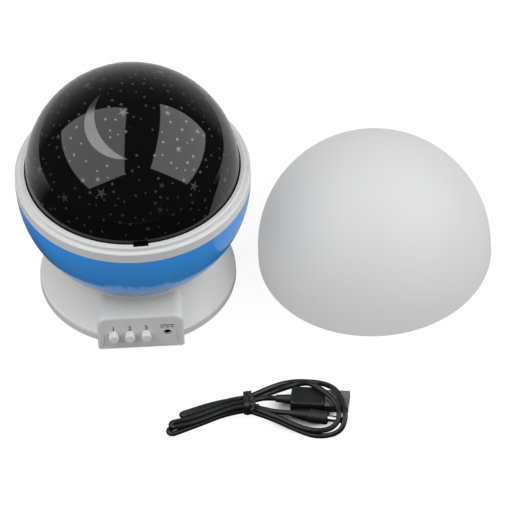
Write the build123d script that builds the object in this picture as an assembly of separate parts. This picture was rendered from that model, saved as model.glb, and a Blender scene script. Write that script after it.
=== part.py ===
from build123d import *
from math import acos, atan2, cos, degrees, hypot, pi, radians, sin, sqrt
import os

# Star night light projector, in millimetres. +Z is up, -Y is the side with the buttons.
# The origin is on the base's axis, on the surface that the lamp stands on.

# ---------------------------------------------------------------- driving dimensions
# Clearances
RUN = 0.05            # radial play of a shaft in its bearing
GAP = 0.30            # between pieces that move past each other
SEAM = 0.15           # between mouldings that close on each other
FIT = 0.10            # play of a moulding that is dropped into its seat
PAST = 1.0            # how far a cutter reaches past what it cuts

# Base
FOOT_H = 0.8          # how far the foot ring stands out of the base
BASE_R = 52.1         # rim radius
RIM_H = 3.4           # upright rim
RIM_ROUND_W = 1.0     # rounded edge over the rim, across and up
RIM_ROUND_H = 1.5
NECK_R = 39.2         # radius where the flare meets the top
NECK_Z = 26.0         # top of the base
NECK_EDGE = 1.2       # chamfer round the top
NECK_LEAD = 0.5       # how far the flare ends outside that chamfer
FLARE_DIP = 1.0       # how far the flare is hollowed from a straight cone
WALL = 2.0            # wall of the white mouldings

# Control box on the front of the base
BOX_W = 45.8
BOX_PROUD = 2.0       # how far its face stands in front of the rim
BOX_TOP = 23.6
BOX_CORNER = 5.0
BOX_EDGE = 1.6        # softened edge round the front face
BOX_POST = 3.5        # the shell's own posts, each side of the cover's upright tongue

# Buttons and socket on the front face
ROW_Z = 11.0          # height of the button row and of the socket
BUTTON_IN = 8.4       # first button from the box's side
BUTTON_PITCH = 8.7
BUTTON_COUNT = 3
BUTTON_R = 2.62
BUTTON_EDGE = 0.45
BUTTON_OUT = 4.1      # how far a cap stands out
BUTTON_HOLE = 0.13    # play of a cap in its hole
BUTTON_TRAVEL = 0.8
FLANGE_R = 3.5
FLANGE_T = 0.8
STEM_R = 1.5
STEM_L = 0.8
JACK_IN = 8.7         # socket from the box's other side
JACK_HOLE_R = 2.15
JACK_R = 1.8          # guide bore for a plug of 3.5 mm
JACK_GUIDE = 2.6
JACK_DEEP_R = 2.4     # room for the spring contact behind the guide
JACK_DEPTH = 9.6
JACK_PIN_R = 0.62
JACK_W, JACK_H, JACK_L = 7.4, 7.0, 10.8
JACK_EDGE = 0.8

# Switches and board in the box
SWITCH_W = 6.0
SWITCH_T = 3.4
SWITCH_EDGE = 0.5
PLUNGER_R = 1.7
PLUNGER_OUT = 1.4
PLUNGER_IN = 1.0
BOARD_T = 1.6
BOARD_PLAY = 0.9      # each side of the board

# Foot ring
FOOT_IN = 3.5         # from the rim
FOOT_W = 4.5
FOOT_T = 1.6

# Bottom cover and its screws
COVER_T = 2.0
COVER_PLAY = 0.2
BOSS_R = 3.2
BOSS_LAND = 1.3       # between a screw's head and the foot ring
BOSS_ANGLES = (35, 145, 215, 325)
PAD_H = 1.0           # thickening of the cover at each screw
SCREW_R = 1.15
SCREW_HEAD_R = 2.2
SCREW_HEAD_T = 1.4
SCREW_L = 8.0
RECESS_W = 0.6        # cross recess in a screw's head
RECESS_T = 0.5
RECESS_SPAN = 0.75    # share of the head's radius

# Battery bay, four cells side by side
CELL_R = 5.25
CELL_L = 43.3
CELL_EDGE = 0.4
CELL_NUB_R = 1.9
CELL_NUB_L = 1.2
CELL_PITCH = 11.2
CELL_COUNT = 4
CELL_LIFT = 0.55      # cells above the door
BAY_Y = 4.0           # middle of the bay
BAY_PLAY = 0.95       # beside the outer cells
BAY_CONTACT = 3.05    # room for the contacts at each end of the cells
BAY_WALL = 1.2
CONTACT_T = 0.4
CONTACT_W = 8.8
CONTACT_H = 7.8
SPRING_R = 3.2
SPRING_TIP_R = 1.8

# Battery door
DOOR_T = 1.8
DOOR_NOSE_W = 16.0    # the door's front tongue, which takes its screw
DOOR_NOSE_L = 6.0
DOOR_SCREW_L = 5.2
DOOR_TAB_W = 3.4
DOOR_TAB_T = 0.8
DOOR_TAB_L = 1.2
DOOR_TAB_ROOT = 2.0
DOOR_TAB_X = 11.2
GRIP_COUNT = 5        # finger grooves in the door
GRIP_PITCH = 2.4
GRIP_W = 1.0
GRIP_T = 0.5
GRIP_L = 14.0

# Turret, which carries the drive and the light inside the globe
JOURNAL_R = 12.5
WIRE_R = 7.0
PLATFORM_R = 31.0
PLATFORM_LIFT = 0.8   # above the ring gear
PLATFORM_T = 2.0
PLATFORM_RIB_H = 3.0
PLATFORM_RIB_W = 1.6
TURRET_SCREW_AT = 9.8
TURRET_SCREW_R = 1.1
TURRET_SCREW_L = 5.0  # thread in the journal
TURRET_SCREW_ANGLES = (0, 120, 240)
WASHER_T = 0.5
WASHER_W = 4.3
VENT_AT = 22.0        # slots in the platform
VENT_L, VENT_W = 9.0, 3.0
VENT_ANGLES = (200, 250, 290, 340)

# Globe
BOWL_LIFT = 1.0       # bowl above the base
BOWL_R = 62.5
FLOOR_R = 41.4        # flat underside of the bowl
FLOOR_T = 2.2
HUB_W = 4.45          # bearing boss under the bowl
RIM_DROP = 0.6        # rim of the bowl below the globe's middle
SPIGOT_W = 1.7        # the bowl's upstand inside the ring
SPIGOT_H = 4.25
SPIGOT_ROOT = 3.0     # how far it reaches down inside the bowl
SPIGOT_SLOPE = 1.6

# Ring
RING_PROUD = 0.1      # outside the bowl
BAND_H = 6.2          # outer wall, up to the ledge
LEDGE_W = 2.4         # the lamp shade stands on this ledge
LIP_H = 2.6           # and closes round this wall
LIP_W = 2.6
SHELF_DEPTH = 4.0     # the dome stands on this shelf, below the lip
SHELF_W = 2.8
SHELF_T = 1.8
RING_EDGE = 0.6

# Star dome
DOME_PLAY = 0.6       # inside the lip
DOME_SKIRT = 2.4      # upright rim
DOME_WALL = 1.5
TAB_W = 7.5           # locating tabs in the ring's notches
TAB_REACH = 1.4       # into the lip
TAB_ROOT = 0.6        # into the dome's wall
TAB_T = 1.3
TAB_ANGLES = (-87.4, 32.6, 152.6)

# Gear drive
MODULE = 0.8
RING_TEETH = 60
PINION_TEETH = 12
PRESSURE = 20.0
PINION_ADD = 0.8      # tooth heights outside and inside the pitch circles
RING_ADD = 0.4
ROOT_PLAY = 0.2
BACKLASH = 0.10       # taken off each flank pair
GEAR_RIM = 3.0
GEAR_H = 3.8
GEAR_FLANGE_W = 5.0
GEAR_FLANGE_T = 1.6
GEAR_SCREW_IN = 2.6   # from the flange's edge
GEAR_SCREW_ANGLES = (30, 150, 270)
GEAR_HEAD_R, GEAR_HEAD_T = 1.9, 1.2
GEAR_SCREW_SKIN = 0.4  # left of the bowl's floor under each screw
PINION_LIFT = 0.5     # pinion above the bowl's floor
PINION_H = 3.4
SHAFT_R = 1.5
SHAFT_IN = 0.6        # share of the gearbox's height that the shaft fills

# Gear motor
GEARBOX_L, GEARBOX_D, GEARBOX_H = 24.0, 15.0, 9.0
GEARBOX_CORNER = 3.0
GEARBOX_EDGE = 0.8
GEARBOX_SEAM = 0.4    # joint line of its two halves
EAR_OUT = 4.5         # screw beyond the end of the box
EAR_R = 3.0
EAR_T = 1.6
NOSE_R = 3.6          # the gearbox's bearing nose in the platform
MOTOR_R = 7.8
MOTOR_L = 12.5
MOTOR_FLAT = 6.2      # the can's two flats
MOTOR_EDGE = 0.6
MOTOR_BOSS_R, MOTOR_BOSS_H = 3.0, 1.2
TERMINAL_X = 4.6
TERMINAL_W, TERMINAL_T, TERMINAL_H = 2.2, 0.5, 3.0

# Light
LIGHT_DROP = 9.0      # top of the riser below the dome's middle
RISER_R = 8.0
RISER_WALL = 1.6
RISER_FLANGE_R = 12.0
RISER_FLANGE_T = 2.0
FIN_W, FIN_H, FIN_T = 7.0, 16.0, 1.6
FIN_FOOT = 2.0        # upright end of a fin
FIN_ANGLES = (180, 240, 300, 0)
LED_BOARD_R = 13.0
LED_R = 2.5
LED_H = 8.6
LED_FLANGE_W = 0.4
LED_FLANGE_T = 1.0
LED_AT = 8.6
CENTRE_LED_R = 4.0
CENTRE_LED_H = 11.0
COLOUR_ANGLES = (90, 210, 330)

# Reflector plate under the dome
PLATE_T = 1.4
PLATE_HOLE_R = 16.0
PLATE_DROP = 4.6
PLATE_LIP = 2.8       # flat rim inside the ring's shelf

# Night light shade, set down beside the lamp
SHADE_GAP = 1.7       # between it and the ring, seen from above
SHADE_Y = 7.8
SHADE_PLAY = 0.25     # round the ring's upper wall, when it is on the lamp
SHADE_WALL = 1.55
SHADE_SKIRT = 6.4

# Wire to the light
WIRE_D = 2.4
WIRE_X = -9.0         # where it leaves the main board
WIRE_Y = -4.4         # where it goes up inside the riser
WIRE_OUT = 14.0       # straight stretch from the board
WIRE_CLEAR = 2.0      # over the battery bay
WIRE_BENDS = (12.0, 5.0)

# Cable, tied in a hank on the table in front of the lamp
CORD_D = 2.9
CORD_PLAY = 0.2       # strands that lie on each other don't quite touch
TIE_X, TIE_Y = 54.5, -103.0
TIE_W = 3.2
TIE_T = 0.9
TIE_EDGE = 1.6
TAIL_R = 0.8          # the tie's twisted ends
TAIL_L = 7.5
TAIL_TURN = -20.0
LOOP_X, LOOP_Y = 85.5, -109.0
LOOP_R = 22.3
LOOP_ROOT = 3.6       # half the loop's width where it leaves the tie
LOOP_START = 12.0     # the two sides of the loop part this far from the tie
LOOP_SLIP = 2.5       # and this far towards the lower one
TOE_R = 12.0          # the loop is tighter at its lower end
TOE_ANGLE = -50.0
RAMP_X = 85.0         # the loop's far end climbs from here
BRIDGE_X = 97.0       # and lies on the plugs from here
LONG_FOLD = (16.4, -117.0, 4.5)    # the strands' folds left of the tie: place and radius
SHORT_FOLD = (22.0, -108.5, 3.5)
LEAD_IN = 5.0         # the plugs' leads enter the bundle this far from the tie

# USB plug
USB_X, USB_Y, USB_TURN = 96.0, -103.6, -8.0
USB_L, USB_W, USB_H = 18.5, 13.2, 7.6
USB_CORNER, USB_EDGE = 2.2, 1.4
USB_SHELL_L, USB_SHELL_W, USB_SHELL_H, USB_SHELL_T = 12.4, 12.0, 4.5, 0.3
USB_WINDOW_X, USB_WINDOW_Y = 6.2, 2.9
USB_WINDOW_L, USB_WINDOW_W = 2.0, 2.2
USB_TONGUE_H = 1.9
USB_TONGUE_IN = 1.0   # behind the shell's mouth
USB_PIN_Y = (-3.5, -1.0, 1.0, 3.5)
USB_PIN_L, USB_PIN_W, USB_PIN_T = 9.4, 1.1, 0.2
USB_NECK_L, USB_NECK_R = 8.0, 2.6
USB_NECK_SKIN = 0.5   # round the cable

# Power plug
PLUG_X, PLUG_Y, PLUG_TURN = 96.6, -116.2, -15.0
PLUG_R, PLUG_L, PLUG_EDGE = 3.6, 10.5, 0.7
PLUG_NECK_L, PLUG_NECK_R = 10.0, 2.9
PLUG_NECK_SKIN = 0.3
PLUG_RIBS = 5
PLUG_RIB_OUT = 0.3
PLUG_RIB_TAPER = 0.22
BARREL_R, BARREL_L, BARREL_EDGE = 1.75, 9.5, 0.15
BARREL_BORE_R = 0.7
BARREL_BACK = 0.5     # closed end of the barrel's bore

# ---------------------------------------------------------------- worked out
# Base
SHELL_Z = FOOT_H
COVER_TOP = SHELL_Z + COVER_T
PAD_TOP = COVER_TOP + PAD_H
BOX_FRONT = BASE_R + BOX_PROUD
BOX_IN = BOX_FRONT - WALL
TONGUE_W = BOX_W - 2 * BOX_POST
BOARD_W = BOX_W - 2 * (WALL + BOARD_PLAY)
BUTTON_X = [BUTTON_IN - BOX_W / 2 + i * BUTTON_PITCH for i in range(BUTTON_COUNT)]
JACK_X = BOX_W / 2 - JACK_IN
FOOT_R = BASE_R - FOOT_IN
BOSS_AT = FOOT_R - FOOT_W - BOSS_LAND - SCREW_HEAD_R

# Battery bay
BAY_W = CELL_PITCH * (CELL_COUNT - 1) + 2 * (CELL_R + BAY_PLAY)
BAY_L = CELL_L + CELL_NUB_L + 2 * BAY_CONTACT
DOOR_REAR = BAY_Y + BAY_L / 2
DOOR_FRONT = BAY_Y - BAY_L / 2
CELL_Z = SHELL_Z + DOOR_T + CELL_LIFT + CELL_R
BAY_TOP = CELL_Z + CELL_R + CELL_LIFT

# Row of buttons, from the front wall back to the board
FLANGE_Y = BOX_IN - GAP
SWITCH_BACK = FLANGE_Y - FLANGE_T - STEM_L - PLUNGER_OUT - SWITCH_T

# Globe, ring and dome, from the base upwards and from the bowl inwards
FLOOR_Z = NECK_Z + BOWL_LIFT
FLOOR_TOP = FLOOR_Z + FLOOR_T
GLOBE_Z = FLOOR_Z + sqrt(BOWL_R**2 - FLOOR_R**2)
RIM_Z = GLOBE_Z - RIM_DROP
LEDGE_Z = RIM_Z + BAND_H
LIP_Z = LEDGE_Z + LIP_H
SHELF_Z = LIP_Z - SHELF_DEPTH
SHELF_UNDER = SHELF_Z - SHELF_T
DOME_Z = SHELF_Z + DOME_SKIRT
RING_R = BOWL_R + RING_PROUD
SEAT_R = RING_R - LEDGE_W
LIP_R = SEAT_R - LIP_W
SHELF_R = LIP_R - SHELF_W
DOME_R = LIP_R - DOME_PLAY
TAB_OUT = LIP_R + TAB_REACH
PLATE_FLAT_R = SHELF_R - PLATE_LIP
HUB_R = JOURNAL_R + RUN + HUB_W

# Drive
CENTRE_DIST = MODULE * (RING_TEETH - PINION_TEETH) / 2
GEAR_ROOT_R = MODULE * RING_TEETH / 2 + PINION_ADD + ROOT_PLAY
GEAR_FLANGE_R = GEAR_ROOT_R + GEAR_RIM + GEAR_FLANGE_W
GEAR_SCREW_AT = GEAR_FLANGE_R - GEAR_SCREW_IN
PLATFORM_Z = FLOOR_TOP + GEAR_H + PLATFORM_LIFT
PLATFORM_TOP = PLATFORM_Z + PLATFORM_T
EAR_AT = GEARBOX_L / 2 + EAR_OUT
RISER_TOP = DOME_Z - LIGHT_DROP

# Shade
SHADE_R = SEAT_R + SHADE_PLAY + SHADE_WALL
SHADE_X = RING_R + SHADE_GAP + SHADE_R

# Hank: two strands high and three wide at the tie, one high and two wide in the loop
HANK_H = 2 * CORD_D + CORD_PLAY
BUNDLE_HALF = 1.5 * CORD_D + 2 * CORD_PLAY
TIE_HALF = BUNDLE_HALF + TIE_T
LOOP_H = CORD_D + CORD_PLAY
LOOP_BAND = 2 * CORD_D
TUNNEL_H = USB_H / 2 + USB_SHELL_H / 2 + GAP
USB_LEAD_END = (TIE_X + LEAD_IN, TIE_Y + CORD_D / 2)
PLUG_LEAD_END = (TIE_X + LEAD_IN, TIE_Y - CORD_D / 2)


# ---------------------------------------------------------------- helpers
def outline(*points):
    """Closed straight-sided face in the XZ plane."""
    return Plane.XZ * make_face(Polyline(*points, close=True))


def turned(face):
    """Solid of revolution about Z."""
    return revolve(face, Axis.Z)


def rod(radius, bottom, top, x=0.0, y=0.0):
    """Upright cylinder between two heights."""
    return Pos(x, y, bottom) * extrude(Circle(radius), top - bottom)


def tube(outer, inner, bottom, top):
    return rod(outer, bottom, top) - rod(inner, bottom - PAST, top + PAST)


def block(low, high):
    """Box between two corners."""
    size = [h - l for l, h in zip(low, high)]
    return Pos(*low) * Box(*size, align=(Align.MIN,) * 3)


def along_y(radius, near, far, x, z):
    """Cylinder along Y between two distances in front of the axis, near < far."""
    return Pos(x, -far, z) * Rot(-90, 0, 0) * extrude(Circle(radius), far - near)


def along_x(radius, start, stop, height):
    """Cylinder along X between two places on it."""
    return Pos(start, 0, height) * Rot(0, 90, 0) * extrude(Circle(radius), stop - start)


def cone_along_x(start_r, stop_r, start, stop, height):
    cone = Cone(start_r, stop_r, stop - start, align=(Align.CENTER, Align.CENTER, Align.MIN))
    return Pos(start, 0, height) * Rot(0, 90, 0) * cone


def polar(radius, angle):
    return radius * cos(radians(angle)), radius * sin(radians(angle))


def circle_radius(sphere_radius, height):
    """Radius of a sphere's circle at a height from its centre."""
    return sqrt(sphere_radius**2 - height**2)


def screw(x, y, seat, tip, shank_r, head_r=SCREW_HEAD_R, head_t=SCREW_HEAD_T):
    """Pan-head screw with a cross recess, its head seated at one height and its tip at another."""
    away = -1 if tip > seat else 1
    crown = seat + away * head_t
    body = rod(head_r, min(seat, crown), max(seat, crown), x, y)
    body += rod(shank_r, min(seat, tip), max(seat, tip), x, y)
    low, high = sorted((crown + away * PAST, crown - away * RECESS_T))
    for half_x, half_y in ((RECESS_SPAN * head_r, RECESS_W / 2), (RECESS_W / 2, RECESS_SPAN * head_r)):
        body -= block((x - half_x, y - half_y, low), (x + half_x, y + half_y, high))
    return body


def separate(solids):
    """One node of several solids that stay apart."""
    return Compound(children=[s.solid() if hasattr(s, "solid") else s for s in solids])


# ---------------------------------------------------------------- base
def base_form(inset):
    """The flared body of the base, all its walls moved in by inset."""
    rim, neck, top = BASE_R - inset, NECK_R - inset, NECK_Z - inset
    rim_top = SHELL_Z + RIM_H
    low = (rim - RIM_ROUND_W, rim_top + RIM_ROUND_H)
    high = (neck + NECK_LEAD, top - NECK_EDGE)
    middle = ((low[0] + high[0]) / 2 - FLARE_DIP, (low[1] + high[1] - FLARE_DIP) / 2)
    edges = Line((0, SHELL_Z), (rim, SHELL_Z))
    edges += Line((rim, SHELL_Z), (rim, rim_top))
    edges += ThreePointArc((rim, rim_top), (rim - RIM_ROUND_W / 4, rim_top + RIM_ROUND_H * 0.57), low)
    edges += ThreePointArc(low, middle, high)
    edges += Line(high, (neck - NECK_EDGE, top))
    edges += Line((neck - NECK_EDGE, top), (0, top))
    edges += Line((0, top), (0, SHELL_Z))
    return turned(Plane.XZ * make_face(edges))


def box_form(inset):
    """The control box on the front of the base, its walls moved in by inset."""
    half, top = BOX_W / 2 - inset, BOX_TOP - inset
    corner = BOX_CORNER - inset
    edges = Polyline((-half, top - corner), (-half, SHELL_Z), (half, SHELL_Z), (half, top - corner))
    edges += RadiusArc((half, top - corner), (half - corner, top), -corner)
    edges += Line((half - corner, top), (corner - half, top))
    edges += RadiusArc((corner - half, top), (-half, top - corner), -corner)
    depth = BOX_FRONT - inset - NECK_R * 0.7
    face = Plane((0, inset - BOX_FRONT, 0), x_dir=(1, 0, 0), z_dir=(0, -1, 0)) * make_face(edges)
    return extrude(face, -depth)


def front_holes():
    """The button holes and the socket's hole through the box's front."""
    radius, near, far = BUTTON_R + BUTTON_HOLE, BOX_IN - PAST, BOX_FRONT + PAST
    holes = [along_y(radius, near, far, x, ROW_Z) for x in BUTTON_X]
    return holes + [along_y(JACK_HOLE_R, near, far, JACK_X, ROW_Z)]


def base_shell():
    box = box_form(0)
    front = box.faces().sort_by(Axis.Y)[0]
    soft = [e for e in front.edges() if e.center().Z > SHELL_Z + FIT]
    box = fillet(soft, BOX_EDGE)
    shell = base_form(0) + box - base_form(WALL) - box_form(WALL)
    half = TONGUE_W / 2 + SEAM
    shell -= block((-half, -BOX_FRONT - PAST, SHELL_Z - PAST), (half, BOX_PROUD - BOX_FRONT + WALL, ROW_Z))
    for hole in front_holes():
        shell -= hole
    inside = base_form(WALL / 2) + box_form(WALL / 2)
    for angle in BOSS_ANGLES:
        x, y = polar(BOSS_AT, angle)
        shell += rod(BOSS_R, PAD_TOP, NECK_Z, x, y) & inside
        shell -= rod(SCREW_R, PAD_TOP - PAST, SHELL_Z + SCREW_L + PAST, x, y)
    top_in, top_out = NECK_Z - WALL - PAST, NECK_Z + PAST
    shell -= rod(WIRE_R + PAST, top_in, top_out)
    for angle in TURRET_SCREW_ANGLES:
        shell -= rod(TURRET_SCREW_R, top_in, top_out, *polar(TURRET_SCREW_AT, angle))
    return shell


def bay_block():
    """The battery bay's outside, which stands on the bottom cover."""
    half_w, half_l = BAY_W / 2 + BAY_WALL, BAY_L / 2 + BAY_WALL
    outer = block((-half_w, BAY_Y - half_l, SHELL_Z), (half_w, BAY_Y + half_l, BAY_TOP + BAY_WALL))
    return fillet(outer.edges().filter_by(Axis.Z), BAY_WALL)


def bay_space():
    half_w, half_l = BAY_W / 2, BAY_L / 2
    return block((-half_w, BAY_Y - half_l, SHELL_Z - PAST), (half_w, BAY_Y + half_l, BAY_TOP))


def door_nose(grow, top):
    """The door's front tongue, or the pocket for it."""
    half = DOOR_NOSE_W / 2 + grow
    return block((-half, DOOR_FRONT - DOOR_NOSE_L - grow, SHELL_Z), (half, DOOR_FRONT + PAST, top))


def door_screw_y():
    return DOOR_FRONT - DOOR_NOSE_L / 2


def bottom_cover():
    cover = rod(BASE_R - WALL - COVER_PLAY, SHELL_Z, COVER_TOP)
    half, tongue = BOX_W / 2 - WALL - COVER_PLAY, TONGUE_W / 2
    cover += block((-half, -BOX_IN, SHELL_Z), (half, 0, COVER_TOP))
    cover += block((-tongue, -BOX_FRONT, SHELL_Z), (tongue, -BOX_IN, ROW_Z - RUN))
    for hole in front_holes():
        cover -= hole
    for angle in BOSS_ANGLES:
        x, y = polar(BOSS_AT, angle)
        cover += rod(BOSS_R, COVER_TOP, PAD_TOP, x, y)
        cover -= rod(SCREW_HEAD_R + FIT, SHELL_Z - PAST, SHELL_Z + SCREW_HEAD_T, x, y)
        cover -= rod(SCREW_R + FIT, SHELL_Z, PAD_TOP + PAST, x, y)
    cover -= tube(FOOT_R, FOOT_R - FOOT_W, SHELL_Z - PAST, FOOT_T)
    cover += bay_block()
    cover += door_nose(BAY_WALL, SHELL_Z + DOOR_T + 2 * BAY_WALL)
    cover += rod(BOSS_R, SHELL_Z, SHELL_Z + SCREW_L, 0, door_screw_y())
    cover -= bay_space()
    cover -= Pos(0, 0, -PAST) * door_nose(SEAM, SHELL_Z + DOOR_T + SEAM + PAST)
    cover -= rod(SCREW_R + 2 * GAP, SHELL_Z, SHELL_Z + SCREW_L - PAST, 0, door_screw_y())
    for x in (-DOOR_TAB_X, DOOR_TAB_X):
        half = DOOR_TAB_W / 2 + GAP
        low = (x - half, DOOR_REAR - PAST, COVER_TOP)
        cover -= block(low, (x + half, DOOR_REAR + DOOR_TAB_L + GAP, COVER_TOP + DOOR_TAB_T + 2 * GAP))
    return cover


def battery_door():
    top = SHELL_Z + DOOR_T
    half = BAY_W / 2 - SEAM
    door = block((-half, DOOR_FRONT + SEAM, SHELL_Z), (half, DOOR_REAR - SEAM, top))
    door += door_nose(0, top)
    tab_low = COVER_TOP + GAP / 2
    tab_top = tab_low + DOOR_TAB_T
    for x in (-DOOR_TAB_X, DOOR_TAB_X):
        left, right, root = x - DOOR_TAB_W / 2, x + DOOR_TAB_W / 2, DOOR_REAR - DOOR_TAB_ROOT
        door += block((left, root, top), (right, DOOR_REAR - SEAM, tab_top))
        door += block((left, root, tab_low), (right, DOOR_REAR + DOOR_TAB_L, tab_top))
    door -= rod(SCREW_HEAD_R, SHELL_Z - PAST, SHELL_Z + SCREW_HEAD_T, 0, door_screw_y())
    door -= rod(SCREW_R, SHELL_Z, top + PAST, 0, door_screw_y())
    first = BAY_Y - GRIP_PITCH * (GRIP_COUNT - 1) / 2
    for i in range(GRIP_COUNT):
        y = first + i * GRIP_PITCH
        low = (-GRIP_L / 2, y - GRIP_W / 2, SHELL_Z - PAST)
        door -= block(low, (GRIP_L / 2, y + GRIP_W / 2, SHELL_Z + GRIP_T))
    return door


def door_screw():
    return screw(0, door_screw_y(), SHELL_Z + SCREW_HEAD_T, SHELL_Z + DOOR_SCREW_L, SCREW_R)


def foot_ring():
    return tube(FOOT_R, FOOT_R - FOOT_W, 0, FOOT_T)


def cover_screws():
    seat, tip = SHELL_Z + SCREW_HEAD_T, SHELL_Z + SCREW_L
    return separate([screw(*polar(BOSS_AT, a), seat, tip, SCREW_R) for a in BOSS_ANGLES])


def turret_screws():
    """Screws from inside the base, up into the turret's journal."""
    seat, tip = NECK_Z - WALL, NECK_Z + TURRET_SCREW_L
    places = [polar(TURRET_SCREW_AT, a) for a in TURRET_SCREW_ANGLES]
    return separate([screw(x, y, seat, tip, TURRET_SCREW_R) for x, y in places])


# ---------------------------------------------------------------- batteries
def cell_xs():
    first = -CELL_PITCH * (CELL_COUNT - 1) / 2
    return [first + i * CELL_PITCH for i in range(CELL_COUNT)]


def battery_cells():
    """Cells that lie along Y, every other one turned round."""
    cells = []
    for i, x in enumerate(cell_xs()):
        body = chamfer(extrude(Circle(CELL_R), CELL_L).edges(), CELL_EDGE)
        body += Pos(0, 0, CELL_L) * extrude(Circle(CELL_NUB_R), CELL_NUB_L)
        cell = Pos(0, 0, -(CELL_L + CELL_NUB_L) / 2) * body
        cells.append(Pos(x, BAY_Y, CELL_Z) * Rot(-90 if i % 2 else 90, 0, 0) * cell)
    return separate(cells)


def battery_contacts():
    """A plate at each end of each cell, and a coil, drawn as its outer cone, on the flat end."""
    parts = []
    for i, x in enumerate(cell_xs()):
        nub_end = 1 if i % 2 else -1
        for end in (-1, 1):
            wall = BAY_Y + end * BAY_L / 2
            face = wall - end * CONTACT_T
            low = (x - CONTACT_W / 2, min(wall, face), CELL_Z - CONTACT_H / 2)
            plate = block(low, (x + CONTACT_W / 2, max(wall, face), CELL_Z + CONTACT_H / 2))
            if end != nub_end:
                depth = BAY_CONTACT - CONTACT_T
                cone = Cone(SPRING_R, SPRING_TIP_R, depth, align=(Align.CENTER, Align.CENTER, Align.MIN))
                plate += Pos(x, face, CELL_Z) * Rot(90 * end, 0, 0) * cone
            parts.append(plate)
    return separate(parts)


# ---------------------------------------------------------------- board, switches, socket
def main_board():
    board = block((-BOARD_W / 2, -SWITCH_BACK, COVER_TOP), (BOARD_W / 2, BOARD_T - SWITCH_BACK, BOX_TOP - WALL))
    top = board.edges().filter_by(Axis.Y).group_by(Axis.Z)[-1]
    board = chamfer(top, BOX_CORNER - WALL)
    half_w, half_h = JACK_W / 2 + FIT, JACK_H / 2 + FIT
    low = (JACK_X - half_w, -SWITCH_BACK - PAST, ROW_Z - half_h)
    return board - block(low, (JACK_X + half_w, BOARD_T - SWITCH_BACK + PAST, ROW_Z + half_h))


def tact_switches():
    """Push switches behind the buttons."""
    front, half = SWITCH_BACK + SWITCH_T, SWITCH_W / 2
    well = front - PLUNGER_IN - BUTTON_TRAVEL - GAP
    bodies = []
    for x in BUTTON_X:
        body = block((x - half, -front, ROW_Z - half), (x + half, -SWITCH_BACK, ROW_Z + half))
        body = chamfer(body.edges().filter_by(Axis.Y), SWITCH_EDGE)
        bodies.append(body - along_y(PLUNGER_R + RUN, well, front + PAST, x, ROW_Z))
    return separate(bodies)


def button(x):
    """Cap with a flange behind the wall and a stem towards its switch."""
    cap = along_y(BUTTON_R, FLANGE_Y - FLANGE_T / 2, BOX_FRONT + BUTTON_OUT, x, ROW_Z)
    cap = fillet(cap.edges().sort_by(Axis.Y)[0], BUTTON_EDGE)
    flange = along_y(FLANGE_R, FLANGE_Y - FLANGE_T, FLANGE_Y, x, ROW_Z)
    stem = along_y(STEM_R, FLANGE_Y - FLANGE_T - STEM_L, FLANGE_Y - FLANGE_T, x, ROW_Z)
    return cap + flange + stem


def plunger(x):
    """The switch's own pin, which the button's stem pushes."""
    front = FLANGE_Y - FLANGE_T - STEM_L
    return along_y(PLUNGER_R, front - PLUNGER_OUT - PLUNGER_IN, front, x, ROW_Z)


def dc_jack():
    """Socket for a round power plug, its guide bore open to the front."""
    low = (JACK_X - JACK_W / 2, -BOX_IN, ROW_Z - JACK_H / 2)
    body = block(low, (JACK_X + JACK_W / 2, JACK_L - BOX_IN, ROW_Z + JACK_H / 2))
    body = fillet(body.edges().filter_by(Axis.Y), JACK_EDGE)
    guide_end, back = BOX_IN - JACK_GUIDE, BOX_IN - JACK_DEPTH
    body -= along_y(JACK_R, guide_end, BOX_IN + PAST, JACK_X, ROW_Z)
    body -= along_y(JACK_DEEP_R, back, guide_end, JACK_X, ROW_Z)
    return body + along_y(JACK_PIN_R, back, guide_end - GAP, JACK_X, ROW_Z)


# ---------------------------------------------------------------- turret, drive and light
def turret():
    """Hollow journal with the platform that carries the motor and the light."""
    body = rod(JOURNAL_R, NECK_Z, PLATFORM_TOP)
    body += rod(PLATFORM_R, PLATFORM_Z, PLATFORM_TOP)
    body += tube(PLATFORM_R, PLATFORM_R - PLATFORM_RIB_W, PLATFORM_Z, PLATFORM_TOP + PLATFORM_RIB_H)
    body -= rod(WIRE_R, NECK_Z - PAST, PLATFORM_TOP + PAST)
    for angle in TURRET_SCREW_ANGLES:
        top = NECK_Z + TURRET_SCREW_L + PAST
        body -= rod(TURRET_SCREW_R, NECK_Z - PAST, top, *polar(TURRET_SCREW_AT, angle))
    low, high = PLATFORM_Z - PAST, PLATFORM_TOP + PAST
    body -= rod(NOSE_R + FIT, low, high, 0, CENTRE_DIST)
    for side in (-1, 1):
        body -= rod(TURRET_SCREW_R, low, high, side * EAR_AT, CENTRE_DIST)
    for angle in VENT_ANGLES:
        vent = extrude(SlotOverall(VENT_L, VENT_W), high - low)
        body -= Pos(*polar(VENT_AT, angle), low) * Rot(0, 0, angle) * vent
    return body


def slip_washer():
    """Bearing washer on which the bowl's hub turns."""
    return tube(JOURNAL_R + WASHER_W, JOURNAL_R + FIT, NECK_Z, NECK_Z + WASHER_T)


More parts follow.
